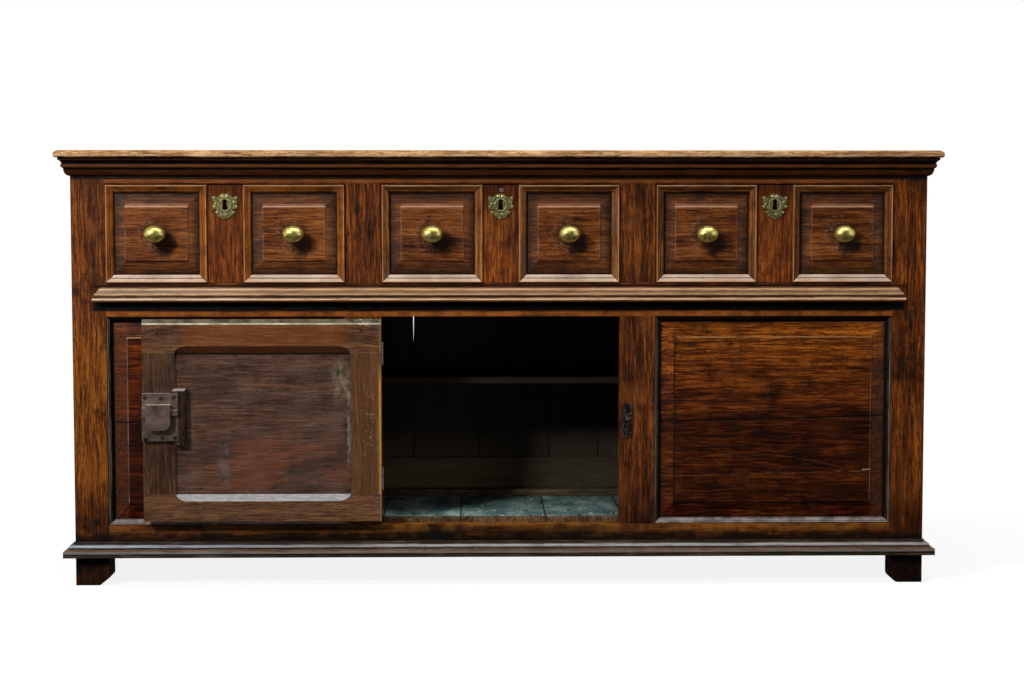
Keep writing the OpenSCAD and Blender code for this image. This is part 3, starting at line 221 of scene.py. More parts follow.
class Finish(Nodes):
    """A material that is put together from nodes, with its colour, roughness and relief."""

    def __init__(self, name):
        self.material = bpy.data.materials.new(name)
        self.material.use_nodes = True
        super().__init__(self.material.node_tree)
        self.place = self.node("ShaderNodeTexCoord", output="Object")
        self.x, self.y, self.z = (self.axis(self.place, number) for number in range(3))

    def axis(self, arrow, number):
        return self.node("ShaderNodeSeparateXYZ", inputs={0: arrow}, output=number)

    def vector(self, x, y, z):
        return self.node("ShaderNodeCombineXYZ", inputs={0: x, 1: y, 2: z})

    def lie(self, axes):
        """The place with its axes in this order: through the board, across it, along its grain."""
        return self.vector(*(getattr(self, axis) for axis in axes))

    def arrows(self, operation, first, second):
        return self.node("ShaderNodeVectorMath", {"operation": operation}, {0: first, 1: second})

    def length(self, x, y, z):
        return self.node("ShaderNodeVectorMath", {"operation": "LENGTH"}, {0: self.vector(x, y, z)}, output=1)

    def choose(self, factor, first, second):
        """The first vector where factor is 0 and the second where it is 1."""
        return self.node("ShaderNodeMix", {"data_type": "VECTOR"}, {0: factor, 4: first, 5: second}, output=1)

    def noise(self, place, size, detail=2.0, roughness=0.5, output=0):
        """Noise whose features have this size along each axis, in metres."""
        scaled = self.arrows("MULTIPLY", place, tuple(1 / s for s in size))
        return self.node("ShaderNodeTexNoise", {"noise_dimensions": "3D"},
                         {"Vector": scaled, "Scale": 1.0, "Detail": detail, "Roughness": roughness}, output)

    def luck(self, number, output):
        """White noise that is the same wherever the number is the same."""
        return self.node("ShaderNodeTexWhiteNoise", {"noise_dimensions": "1D"}, {"W": number}, output)

    def cloud(self, size, detail=3.0):
        """Noise that is alike in all directions, spread to run from 0 to 1."""
        return self.noise(self.place, (size,) * 3, detail, 0.6).fade(0.34, 0.66)

    def specks(self, size, part):
        """Small round spots, one to a cell of this size, which cover this part of its width."""
        scaled = self.arrows("MULTIPLY", self.place, (1 / size,) * 3)
        spots = self.node("ShaderNodeTexVoronoi", {"feature": "F1"}, {"Vector": scaled, "Scale": 1.0})
        return spots.fade(part, part * 0.4)

    def ramp(self, value, *stops):
        return self.node("ShaderNodeValToRGB", {"stops": stops}, {0: value})

    def mix(self, factor, tone, **settings):
        """Puts a tone into the colour by this factor."""
        self.colour = self.node("ShaderNodeMix", {"data_type": "RGBA", "clamp_factor": True, **settings},
                                {0: factor, 6: self.colour, 7: tone}, output=2)

    def tint(self, factor, tone):
        """Lays a tone over the colour where factor is 1."""
        self.mix(factor, tone)

    def gain(self, factor, red, green, blue):
        """Multiplies the colour by these where factor is 1, so that its grain stays."""
        self.mix(factor, (red, green, blue, 1), blend_type="MULTIPLY")

    def edges(self, radius):
        """Rounds the sharp arrises in the light, and gives a mask of where they are."""
        self.rounded = self.node("ShaderNodeBevel", {"samples": 4}, {"Radius": radius})
        flat = self.node("ShaderNodeNewGeometry", output="Normal")
        same = self.node("ShaderNodeVectorMath", {"operation": "DOT_PRODUCT"},
                         {0: self.rounded, 1: flat}, output=1)
        return same.fade(0.995, 0.86)

    def facing(self, axis):
        """How far a face looks to the right, to the back or up: axis 0, 1 or 2."""
        return self.axis(self.node("ShaderNodeNewGeometry", output="Normal"), axis)

    def facing_up(self):
        return self.facing(2)

    def close(self, *nodes, depth=0.0004, strength=0.6, **constants):
        """Joins up the shader and puts the material on CAD nodes."""
        normal = self.node("ShaderNodeBump", inputs={"Strength": strength, "Distance": depth,
                                                     "Height": self.height, "Normal": self.rounded})
        shader = self.tree.nodes["Principled BSDF"]
        for socket, value in (("Base Color", self.colour), ("Roughness", self.rough), ("Normal", normal)):
            self.tree.links.new(value.socket, shader.inputs[socket])
        for socket, value in constants.items():
            shader.inputs[socket.replace("_", " ").title().replace("Ior", "IOR")].default_value = value
        for node in nodes:
            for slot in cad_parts[node].material_slots:
                slot.material = self.material


def oak(name, lie, board, tones, grime=0.6, wear=0.5, seed=0.0, waxed=1.0, variety=0.12):
    """Old oak. lie gives the place along the grain and board a number for each board."""
    f = Finish(name)
    dark, middle, light = tones
    number = board(f) + seed
    luck = f.luck(number + 7.3, "Value")
    shift = f.arrows("MULTIPLY", f.luck(number, "Color"), (3.0, 3.0, 5.0))
    g = f.arrows("ADD", lie(f), shift)
    bend = f.arrows("SUBTRACT", f.noise(g, (0.05, 0.05, 0.2), 2, 0.5, "Color"), (0.5, 0.5, 0.5))
    g = f.arrows("ADD", g, f.arrows("MULTIPLY", bend, (0.014, 0.014, 0.0)))
    fibre = f.noise(g, (0.007, 0.003, 0.045), 4, 0.75).fade(0.37, 0.63)
    streak = f.noise(g, (0.014, 0.0055, 0.12), 4, 0.62).fade(0.36, 0.64)
    broad = f.noise(g, (0.05, 0.032, 0.2), 3, 0.55).fade(0.32, 0.68)
    f.colour = f.ramp(fibre * 0.4 + streak * 0.26 + broad * 0.24 + (luck - 0.5) * variety + 0.05,
                      (0.14, colour(*dark)), (0.5, colour(*middle)), (0.86, colour(*light)))
    pores = f.noise(g, (0.004, 0.0019, 0.013), 1, 0.5).fade(0.58, 0.66)
    f.tint(pores * 0.6, times(dark, 0.4))
    stain = f.noise(f.place, (0.1, 0.1, 0.1), 6, 0.68)
    f.tint(stain.fade(0.53, 0.66) * grime, times(dark, 0.35))
    f.tint(f.noise(f.place, (0.07, 0.07, 0.07), 3, 0.6).fade(0.52, 0.68) * 0.22, colour(*light))
    rub = f.cloud(0.035)
    f.tint(f.edges(0.0009) * rub * wear, times(light, 1.25))
    f.rough = (0.3 + stain * 0.2 + pores * 0.12 + fibre * 0.05) * waxed + 0.62 * (1 - waxed)
    f.height = fibre * 0.3 - pores * 0.35 + streak * 0.2 + f.noise(f.place, (0.05,) * 3, 3) * 0.9
    return f


def one_board(f):
    """The number of the only board of a piece."""
    return f.z * 0


# half is half the carcass, pitch goes from the middle of one bay to the middle of the next, and
# door_x and door_z are the middle of the open door.
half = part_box("front_post_right")[1].x
post_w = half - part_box("front_post_right")[0].x
post_x = half - post_w
bay_z, waist_z = (corner.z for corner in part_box("door_muntins"))
bay_mid_z = (bay_z + waist_z) / 2
drawer_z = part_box("drawer_muntins")[0].z
cornice_z, waist_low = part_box("cornice")[0].z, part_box("waist_moulding")[0].z
pitch = (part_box("right_drawer_knobs")[0].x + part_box("right_drawer_knobs")[1].x) / 2
bay_w = (post_x - pitch) * 2
door_x, door_z = -0.5, 0.35
body_tones = ((34, 13, 4), (92, 43, 13), (158, 88, 30))


def upright_number(f):
    """A number for each post and muntin, with the drawers' muntins set apart from the door's."""
    muntin_pitch = 0.28
    in_frieze = f.z.above(drawer_z - 0.03) * (post_x - abs(f.x)).above(0.0)
    return (f.x / muntin_pitch).round() + in_frieze * 31


def rail_number(f, low=0.1):
    """0 for a low rail, 1 for a middle one and 2 for a top one."""
    return f.z.above(bay_z + low) + f.z.above(drawer_z + 0.1)


def painted_moulding_shade(f):
    """Painted shade: black bands under the cornice and under and over the waist moulding, and
    darker, clouded wood over the base moulding.
    """
    inner = (half - 0.05 - abs(f.x)).fade(-0.02, 0.0)
    waist_shadow = f.z.fade(waist_low - 0.021, waist_low - 0.017)
    waist_shadow = waist_shadow * f.z.fade(waist_low + 0.002, waist_low + 0.001)
    f.tint(f.z.fade(cornice_z - 0.008, cornice_z - 0.005) * 0.95, colour(3, 2, 1))
    f.tint(waist_shadow * inner, colour(1, 0, 0))
    f.tint(f.z.near(drawer_z - 0.007, 0.002, 0.003) * inner * 0.8, colour(6, 3, 2))
    f.tint(f.z.fade(0.11, 0.093) * (f.cloud(0.03) * 0.5 + 0.45), colour(10, 6, 3))


uprights = oak("post_oak", lambda f: f.lie("yxz"), upright_number, body_tones, grime=0.8)
# painted shade: black under the base moulding, over the tops of the feet
uprights.tint(uprights.z.near(0.07, 0.018, 0.028) * 0.9, colour(4, 3, 2))
# painted shade, clouded, on the posts and muntins about the waist moulding
waist_end_shade = uprights.z.near(waist_low + 0.012, 0.02, 0.04) * uprights.cloud(0.03)
uprights.tint(waist_end_shade * (post_x - 0.01 - abs(uprights.x)).fade(-0.055, -0.03) * 0.6, colour(30, 16, 12))
uprights.tint(uprights.z.fade(0.3, 0.2) * uprights.x.above(post_x) * 0.3, colour(20, 11, 5))
# painted shade: the side faces of the feet made black
uprights.tint(abs(uprights.facing(0)).above(0.7) * uprights.z.fade(0.08, 0.06) * 0.9, colour(5, 4, 3))
uprights.gain(uprights.x.below(-post_x) * uprights.z.near(door_z, 0.1, 0.15), 1.2, 1.3, 0.9)
uprights.gain(uprights.x.above(post_x), 1.3, 1.25, 0.85)
uprights.gain(uprights.z.fade(0.22, 0.13) * (uprights.cloud(0.04) * 0.4 + 0.6), 0.36, 0.32, 0.26)
painted_moulding_shade(uprights)
uprights.close("front_post_left", "front_post_right", "drawer_muntins", "door_muntins",
               specular_ior_level=0.2)

rails = oak("rail_oak", lambda f: f.lie("yzx"), rail_number, body_tones, grime=0.75, seed=3.0)
worn_edge = rails.z.near(waist_z + 0.003, 0.004, 0.005) * (rails.cloud(0.03) * 0.5 + 0.2)
rails.tint(worn_edge, colour(190, 106, 36))
rails.tint(rails.z.near(0.848, 0.004, 0.004) * 0.35, colour(170, 96, 42))
rails.tint(rails.z.near(bay_z - 0.006, 0.006, 0.008) * rails.cloud(0.04) * 0.55, colour(164, 104, 30))
# painted shade on the bottom rail, deepening down to the base moulding
base_shade_cloud = rails.cloud(0.03).fade(0.8, 0.2) * 0.5 + 0.4
rails.tint(rails.z.fade(bay_z - 0.004, bay_z - 0.022) * base_shade_cloud, colour(14, 9, 4))
rails.gain(rails.z.fade(bay_z - 0.001, bay_z - 0.007) * abs(rails.x + 0.15).fade(0.5, 0.3), 0.5, 0.55, 0.55)
# painted shadow of the open door on the bottom rail
door_shadow = abs(rails.x - door_x).fade(0.26, 0.22) * rails.z.near(bay_z - 0.004, 0.006, 0.004)
rails.tint(door_shadow * 0.7, colour(4, 2, 1))
painted_moulding_shade(rails)
rails.close("top_rail", "middle_rail", "bottom_rail", specular_ior_level=0.2)

# Ends: rails tenoned between the front and rear posts hold two fielded panels at each end. They are
# of the same oak as the front and waxed like it.
end_rails = oak("end_rail_oak", lambda f: f.lie("xzy"), lambda f: rail_number(f) + f.x.above(0) * 5,
                body_tones, grime=0.7)
end_rails.close("side_rails", specular_ior_level=0.2)
end_panels = oak("end_panel_oak", lambda f: f.lie("xyz"), lambda f: f.x.above(0) * 3 + f.z.above(drawer_z),
                 ((30, 11, 4), (80, 37, 14), (134, 76, 32)), grime=0.7, wear=0.7, seed=11.0)
end_panels.close("side_panels", specular_ior_level=0.2)

# Back: rough upright boards, with a level one over their feet inside. Nobody waxed them, so they
# stayed dry and dull, and dust has packed the joint that lies in line with the doorway.
back_joints = (-0.715, -0.54, -0.368, -0.1925, -0.042, 0.115, 0.229, 0.395, 0.56, 0.73)
packed_joint = back_joints[4]
boards_low, boards_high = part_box("back_boards")
back_y, board_t = boards_high.y, 0.014
low_board_x = 0.8305


def low_board(f):
    """1 on the level board inside, which lies in front of the upright ones."""
    return f.y.below(back_y - board_t - 0.0005) * abs(f.x).below(low_board_x)


back = oak("back_oak", lambda f: f.choose(low_board(f), f.lie("yxz"), f.lie("yzx")),
           lambda f: sum(f.x.above(j) for j in back_joints) * (1 - low_board(f)),
           ((26, 19, 15), (64, 50, 42), (110, 90, 70)), grime=0.5, wear=0.3, waxed=0.0, variety=0.4)
inside_face = back.y.fade(back_y - 0.005, back_y - 0.012)
# inside face: pale dust, partly painted light; painted shade on its lamp-lit right part and upper part
back.tint(inside_face * 0.6, colour(104, 94, 70))
back.gain(inside_face * back.x.fade(-0.1, 0.06), 0.4, 0.4, 0.4)
back.tint(inside_face * back.z.fade(0.17, 0.3) * 0.8, colour(12, 7, 14))
back.gain(1 - inside_face, 1.5, 1.55, 1.6)
gaps = sum(back.x.near(j, 0.0007, 0.001) for j in back_joints)
back.tint(gaps * (1 - low_board(back)) * 0.95, colour(3, 2, 2))
back.close("rear_posts", "back_boards", depth=0.0008, specular_ior_level=0.15)

bpy.ops.object.select_all(action="DESELECT")
dust_place = (packed_joint, back_y - board_t / 2, (boards_low.z + boards_high.z) / 2)
bpy.ops.mesh.primitive_cube_add(size=1, location=dust_place)
dust = bpy.context.object
dust.name, dust.scale = "joint_dust", (0.0004, 0.009, boards_high.z - boards_low.z - 0.004)
bpy.ops.object.transform_apply(location=False)
bpy.ops.object.mode_set(mode="EDIT")
bpy.ops.mesh.select_all(action="SELECT")
bpy.ops.mesh.subdivide(number_cuts=6)
bpy.ops.object.mode_set(mode="OBJECT")
packed = dust.modifiers.new("packed", "BEVEL")
packed.width = 0.00008
bpy.ops.object.modifier_apply(modifier="packed")
dust.data.materials.clear()
dust.data.materials.append(back.material)
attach(dust, "carcass")

back_rail = oak("back_rail_oak", lambda f: f.lie("yzx"), lambda f: rail_number(f, low=0.2),
                ((34, 29, 22), (66, 57, 44), (110, 96, 74)), grime=0.4, waxed=0.0)
back_rail.close("back_rails", depth=0.0008, specular_ior_level=0.15)

# Inside: a half depth shelf on bearers and the runners of the drawers are plain sawn oak, brown
# with age. They were never finished, and only dust and handling have given them their dull skin.
inside = oak("inside_oak", lambda f: f.lie("yzx"), lambda f: f.z / 0.3 + f.y.above(0.05),
             ((16, 11, 9), (40, 29, 25), (74, 58, 46)), wear=0.4, seed=5.0, waxed=0.0)
inside.close("shelf", "bearers", depth=0.0008, specular_ior_level=0.15)
runner = oak("runner_oak", lambda f: f.lie("zxy"), lambda f: (f.x / 0.2).round(),
             ((40, 30, 20), (76, 58, 38), (116, 92, 62)), wear=0.6, seed=6.0, waxed=0.0)
runner.close("drawer_runners", depth=0.0008, specular_ior_level=0.15)

# Floor boards of the cupboard: they run from front to back under old blue-green paint, which has
# flaked to bare wood along the joints and is worn to a strip of brown at the very front.
floor_joints = (-0.668, -0.49, -0.248, -0.084, 0.096, 0.258, 0.455, 0.64)
floor_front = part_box("floor_boards")[0].y
boards = oak("floor_paint", lambda f: f.lie("zxy"), lambda f: sum(f.x.above(j) for j in floor_joints),
             ((40, 26, 14), (86, 64, 42), (140, 112, 80)), grime=0.4, wear=0.5, seed=9.0, waxed=0.0)
joints = sum(boards.x.near(j, 0.0008, 0.0012) for j in floor_joints)
worn_joints = sum(boards.x.near(j, 0.002, 0.012) for j in floor_joints)
flake = boards.noise(boards.place, (0.018, 0.05, 0.018), 5, 0.68)
bare_front = boards.y.fade(floor_front + 0.03, floor_front + 0.012)
kept = (flake - worn_joints * 0.06 - bare_front).fade(0.36, 0.42)
paint = boards.noise(boards.place, (0.05, 0.12, 0.05), 5, 0.62)
chalk = boards.noise(boards.place, (0.01, 0.03, 0.01), 3, 0.6).fade(0.63, 0.67)
boards.tint(kept, boards.ramp(paint, (0.3, colour(50, 78, 80)), (0.5, colour(98, 132, 132)),
                              (0.7, colour(170, 194, 188))))
boards.tint(chalk * kept, colour(206, 200, 168))
front_line = boards.y.near(floor_front + 0.026, 0.0012, 0.003) * boards.cloud(0.03)
boards.tint(front_line * 0.7, colour(190, 184, 164))
boards.tint(joints, colour(8, 10, 9))
boards.height = boards.height + kept * 0.8
boards.close("floor_boards", specular_ior_level=0.2)

# Fixed panels of the outer bays: two oak boards each, with the grain level, raised to a broad flat
# field. The upper board is redder, the lower one is nearly black and has a fine crack and scratches.
panel_joint, joint_slope = bay_z + 0.222, 0.0241


def over_joint(f):
    """The height over the sloping joint between the two boards of a panel."""
    bay_x = (f.x.above(0.0) * 2 - 1) * pitch
    return f.z - (f.x - bay_x) * joint_slope - panel_joint


panels = oak("panel_oak", lambda f: f.lie("yzx"), lambda f: over_joint(f).above(0.0) + f.x.above(0) * 2,
             ((24, 7, 1), (76, 30, 5), (136, 68, 18)), grime=0.7, seed=2.0)
right_bay = panels.x.above(0.0)
field_x, field_z = bay_w / 2 - 0.042, (waist_z - bay_z) / 2 - 0.0445
panel_x, panel_z = abs(panels.x) - pitch, panels.z - bay_mid_z
rim_x, rim_z = abs(panel_x) - field_x, abs(panel_z) - field_z
bevel_x, bevel_z = rim_x.fade(0.0, 0.004), rim_z.fade(0.0, 0.004)

# Broad changes of colour: light over the upper board, black over the lower one.
panels.gain(panel_z.fade(0.0, 0.19), 1.8, 2.0, 1.6)
panels.gain(over_joint(panels).fade(0.03, -0.002) * (panels.cloud(0.06) * 0.3 + 0.7), 0.4, 0.34, 0.3)
panels.gain(panels.x.fade(0.1, -0.1), 0.85, 0.65, 0.45)
panels.gain(panel_z.near(-0.1, 0.02, 0.05) * right_bay, 1.35, 1.4, 1.0)
panels.gain(panel_z.fade(-0.17, -0.19) * panels.cloud(0.03), 2.6, 1.9, 1.5)
# painted light: the top bevel and the top of the field made paler, as lit from above
panels.gain(bevel_z * panel_z.above(0.0) * (panels.cloud(0.05) * 0.5 + 0.5), 1.5, 1.55, 1.5)
panels.gain(panel_z.near(field_z, 0.01, 0.04) * right_bay, 1.35, 1.5, 1.4)
# painted light: the bevel on the side toward the middle made paler, as lit from the left
panels.gain(bevel_x * panel_x.below(0.0) * (panels.cloud(0.04) * 0.7 + 0.1), 1.7, 1.7, 1.5)

# The step round the field: painted highlights on top and to the right, painted shadow left and below.
on_line = rim_x.most(rim_z).near(0.0, 0.0008, 0.0009)
panels.tint(on_line * panel_z.above(field_z - 0.003) * (panels.cloud(0.03) * 0.6 + 0.2), colour(190, 146, 96))
panels.tint(on_line * panel_x.above(field_x - 0.003) * (panels.cloud(0.06) * 0.6 + 0.2), colour(140, 112, 92))
panels.tint(on_line * panel_x.below(0.003 - field_x) * 0.8, colour(10, 5, 3))
panels.tint(on_line * panel_z.below(0.003 - field_z) * 0.9, colour(3, 2, 1))
# painted shade along the outer edge of the bevels, by the moulding
panels.tint(rim_x.fade(0.022, 0.0295).most(rim_z.fade(0.024, 0.032)) * 0.6, colour(10, 7, 5))

# Slanting plane marks on the right bevel, then the crack, the curved scratch and the chip.
slant = panels.vector(panels.x * 1.5 + panels.z, 0.0, panels.z * 0.6 - panels.x)
plane_marks = panels.noise(slant, (0.05, 1.0, 0.004), 3, 0.7).fade(0.5, 0.64)
panels.tint(bevel_x * panel_x.above(0.0) * (plane_marks * 0.5 + 0.15), colour(104, 68, 42))
wander = (panels.noise(panels.place, (0.09, 0.09, 0.09), 3) - 0.5) * 0.006
over_crack = over_joint(panels) + 0.1155 - wander
crack = over_crack.near(0.0, 0.0003, 0.0007) * right_bay
arc = panels.z - (panels.x - 0.62) * (0.4 - panels.x) * 0.7
scratch = arc.near(panel_joint - 0.083, 0.0002, 0.0007) * right_bay
panels.tint(crack * 0.7, colour(8, 4, 2))
panels.tint((crack * 0.6 + scratch * 0.35) * panels.cloud(0.018), colour(150, 104, 62))
chip = panels.x.near(pitch + 0.2, 0.006, 0.006) * over_crack.near(0.003, 0.0008, 0.0012)
panels.tint(chip * panels.cloud(0.008) * 0.8, colour(206, 192, 176))
panels.tint(over_joint(panels).near(0.0, 0.0011, 0.0006) * 0.95, colour(3, 2, 1))
panels.height = panels.height - crack * 0.8
panels.close("bay_panels", specular_ior_level=0.15)

# Panel mouldings: an ogee and bead worked along oak strips, mitred at the corners and pinned
# round each opening. Dark wax and painted shade fill their hollows, and dust has greyed the ridges.


def mitred(name, place, half_x, half_z, tones, **looks):
    """Oak for four mitred strips. place gives x and z from the middle of their opening."""
    def upright(f):
        x, z = place(f)
        return (abs(x) - half_x + half_z - abs(z)).above(0.0)

    def strip(f):
        x, z = place(f)
        return upright(f) * (x.above(0.0) + 2) + (1 - upright(f)) * z.above(0.0) + f.x.above(0.0) * 5

    f = oak(name, lambda f: f.choose(upright(f), f.lie("yzx"), f.lie("yxz")), strip, tones, **looks)
    x, z = place(f)
    stands = upright(f)
    f.left, f.right = stands * x.below(0.0), stands * x.above(0.0)
    f.under, f.over = (1 - stands) * z.below(0.0), (1 - stands) * z.above(0.0)
    return f


strips = mitred("panel_moulding_oak", lambda f: (abs(f.x) - pitch, f.z - bay_mid_z),
                bay_w / 2, (waist_z - bay_z) / 2,
                ((20, 12, 8), (54, 38, 28), (104, 84, 68)), grime=0.8, seed=4.0)
bay_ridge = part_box("bay_mouldings")[0].y
ridge = strips.y.fade(bay_ridge + 0.002, bay_ridge + 0.0005)
# the bottom strips are pale where they face up: dust and painted sheen
dust_and_sheen = strips.under * strips.facing_up().fade(-0.2, 0.4)
# painted shade, with dark wax, deep in the moulding behind its ridge
strips.tint(strips.y.fade(bay_ridge + 0.002, bay_ridge + 0.005) * 0.95, colour(4, 3, 3))
strips.tint(ridge * (strips.left + strips.right) * (strips.cloud(0.05) * 0.5 + 0.3), colour(112, 110, 102))
strips.tint(dust_and_sheen * (strips.cloud(0.03) * 0.55 + 0.3), colour(164, 152, 150))
# painted shadow over the top strips, under the frame's edge
strips.tint(strips.over * 0.9, colour(5, 4, 3))
strips.close("bay_mouldings", depth=0.0003, specular_ior_level=0.12)

# Cornice, waist and base mouldings: long oak sections planed by hand and nailed on, with mitred
# returns. Painted shade and wax blacken their quirks; painted highlights, dust and handling pale the arrises.


def long_moulding(node, tones, seed, grime, lit_left_end, marks):
    """Each mark has its low and high edge as parts of the height, its strength and its tone: pale marks
    are painted highlights with some dust, dark ones painted shade with some wax. The argument after
    grime is how much paler the left end is painted, as if lit more."""
    low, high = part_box(node)
    f = oak(f"{node}_oak",
            lambda f: f.choose((abs(f.x) - half).above(face - f.y), f.lie("yzx"), f.lie("xzy")),
            one_board, tones, grime=grime, wear=0.6, seed=seed)
    wave = (f.noise(f.place, (0.1, 0.1, 0.1), 3) - 0.5) * 0.0014
    level = (f.z + wave - low.z) / (high.z - low.z)
    for start, end, amount, tone in marks:
        worn = f.noise(f.place, (0.06, 0.06, 0.006), 4, 0.7).fade(0.3, 0.56) * 0.65 + 0.35
        f.tint(level.near((start + end) / 2, (end - start) / 2, 0.02) * worn * amount, colour(*tone))
    # painted light: the left end made paler
    f.gain(f.x.fade(-0.3, -0.75), lit_left_end ** 0.4, lit_left_end ** 0.8, lit_left_end ** 1.4)
    f.close(node, depth=0.0003, specular_ior_level=0.1)


long_moulding("cornice", ((12, 6, 3), (44, 22, 10), (84, 46, 22)), 8.0, 0.7, 1.0, (
    (0.93, 1.0, 1.0, (4, 2, 1)), (0.82, 0.9, 0.6, (56, 30, 15)), (0.64, 0.79, 1.0, (4, 2, 1)),
    (0.48, 0.61, 0.85, (116, 66, 34)), (0.34, 0.45, 1.1, (3, 2, 1)), (0.07, 0.3, 0.55, (84, 38, 13)),
    (0.0, 0.03, 1.0, (3, 2, 1))))
long_moulding("waist_moulding", ((54, 28, 12), (112, 72, 42), (168, 126, 90)), 8.3, 0.4, 1.35, (
    (0.93, 1.0, 0.9, (92, 56, 32)), (0.79, 0.9, 0.9, (204, 160, 120)), (0.62, 0.74, 0.7, (130, 108, 88)),
    (0.5, 0.58, 0.9, (190, 146, 102)), (0.34, 0.45, 1.0, (58, 40, 27)), (0.13, 0.25, 0.9, (196, 150, 106)),
    (0.175, 0.2, 0.9, (244, 220, 194)), (0.0, 0.08, 0.9, (108, 58, 20))))
long_moulding("base_moulding", ((30, 21, 15), (78, 64, 52), (128, 112, 98)), 8.6, 0.5, 1.3, (
    (0.86, 1.0, 0.8, (50, 37, 28)), (0.66, 0.8, 0.85, (168, 168, 172)), (0.54, 0.62, 1.0, (34, 22, 14)),
    (0.44, 0.52, 0.6, (104, 68, 42)), (0.28, 0.4, 0.7, (132, 124, 116)), (0.2, 0.26, 1.0, (12, 9, 7)),
    (0.0, 0.19, 0.85, (36, 31, 25))))

# Top: two wide oak boards with a thumbnail edge, bleached tan by light and use, with dark pores,
# dark blotches and an old ring from a pot.
top_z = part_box("top_boards")[1].z
top_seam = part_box("top_boards")[1].y - 0.205
top = oak("top_oak", lambda f: f.lie("zyx"), lambda f: f.y.above(top_seam),
          ((112, 68, 32), (178, 128, 78), (228, 188, 138)), grime=0.2, wear=0.25, seed=1.0)
blotch = top.noise(top.place, (0.16, 0.06, 0.16), 5, 0.6).fade(0.48, 0.68)
top.tint(blotch * 0.5, colour(78, 46, 24))
# a painted highlight along the lower edge of the thumbnail
top.tint(top.z.near(top_z - 0.0105, 0.0008, 0.0012) * top.cloud(0.05) * 0.7, colour(238, 208, 172))
# painted shadow under the top's edge
ragged_z = top.z + (top.cloud(0.04) - 0.5) * 0.003
top.tint(ragged_z.fade(top_z - 0.0135, top_z - 0.0155) * 0.9, colour(24, 12, 6))
ring = abs(top.length(top.x - 0.31, top.y + 0.02, 0.0) - 0.042).fade(0.003, 0.001)
top.tint(ring * top.cloud(0.02) * 0.6, colour(60, 36, 20))
top.rough = top.rough * 0.8 + 0.3
top.close("top_boards", specular_ior_level=0.15)

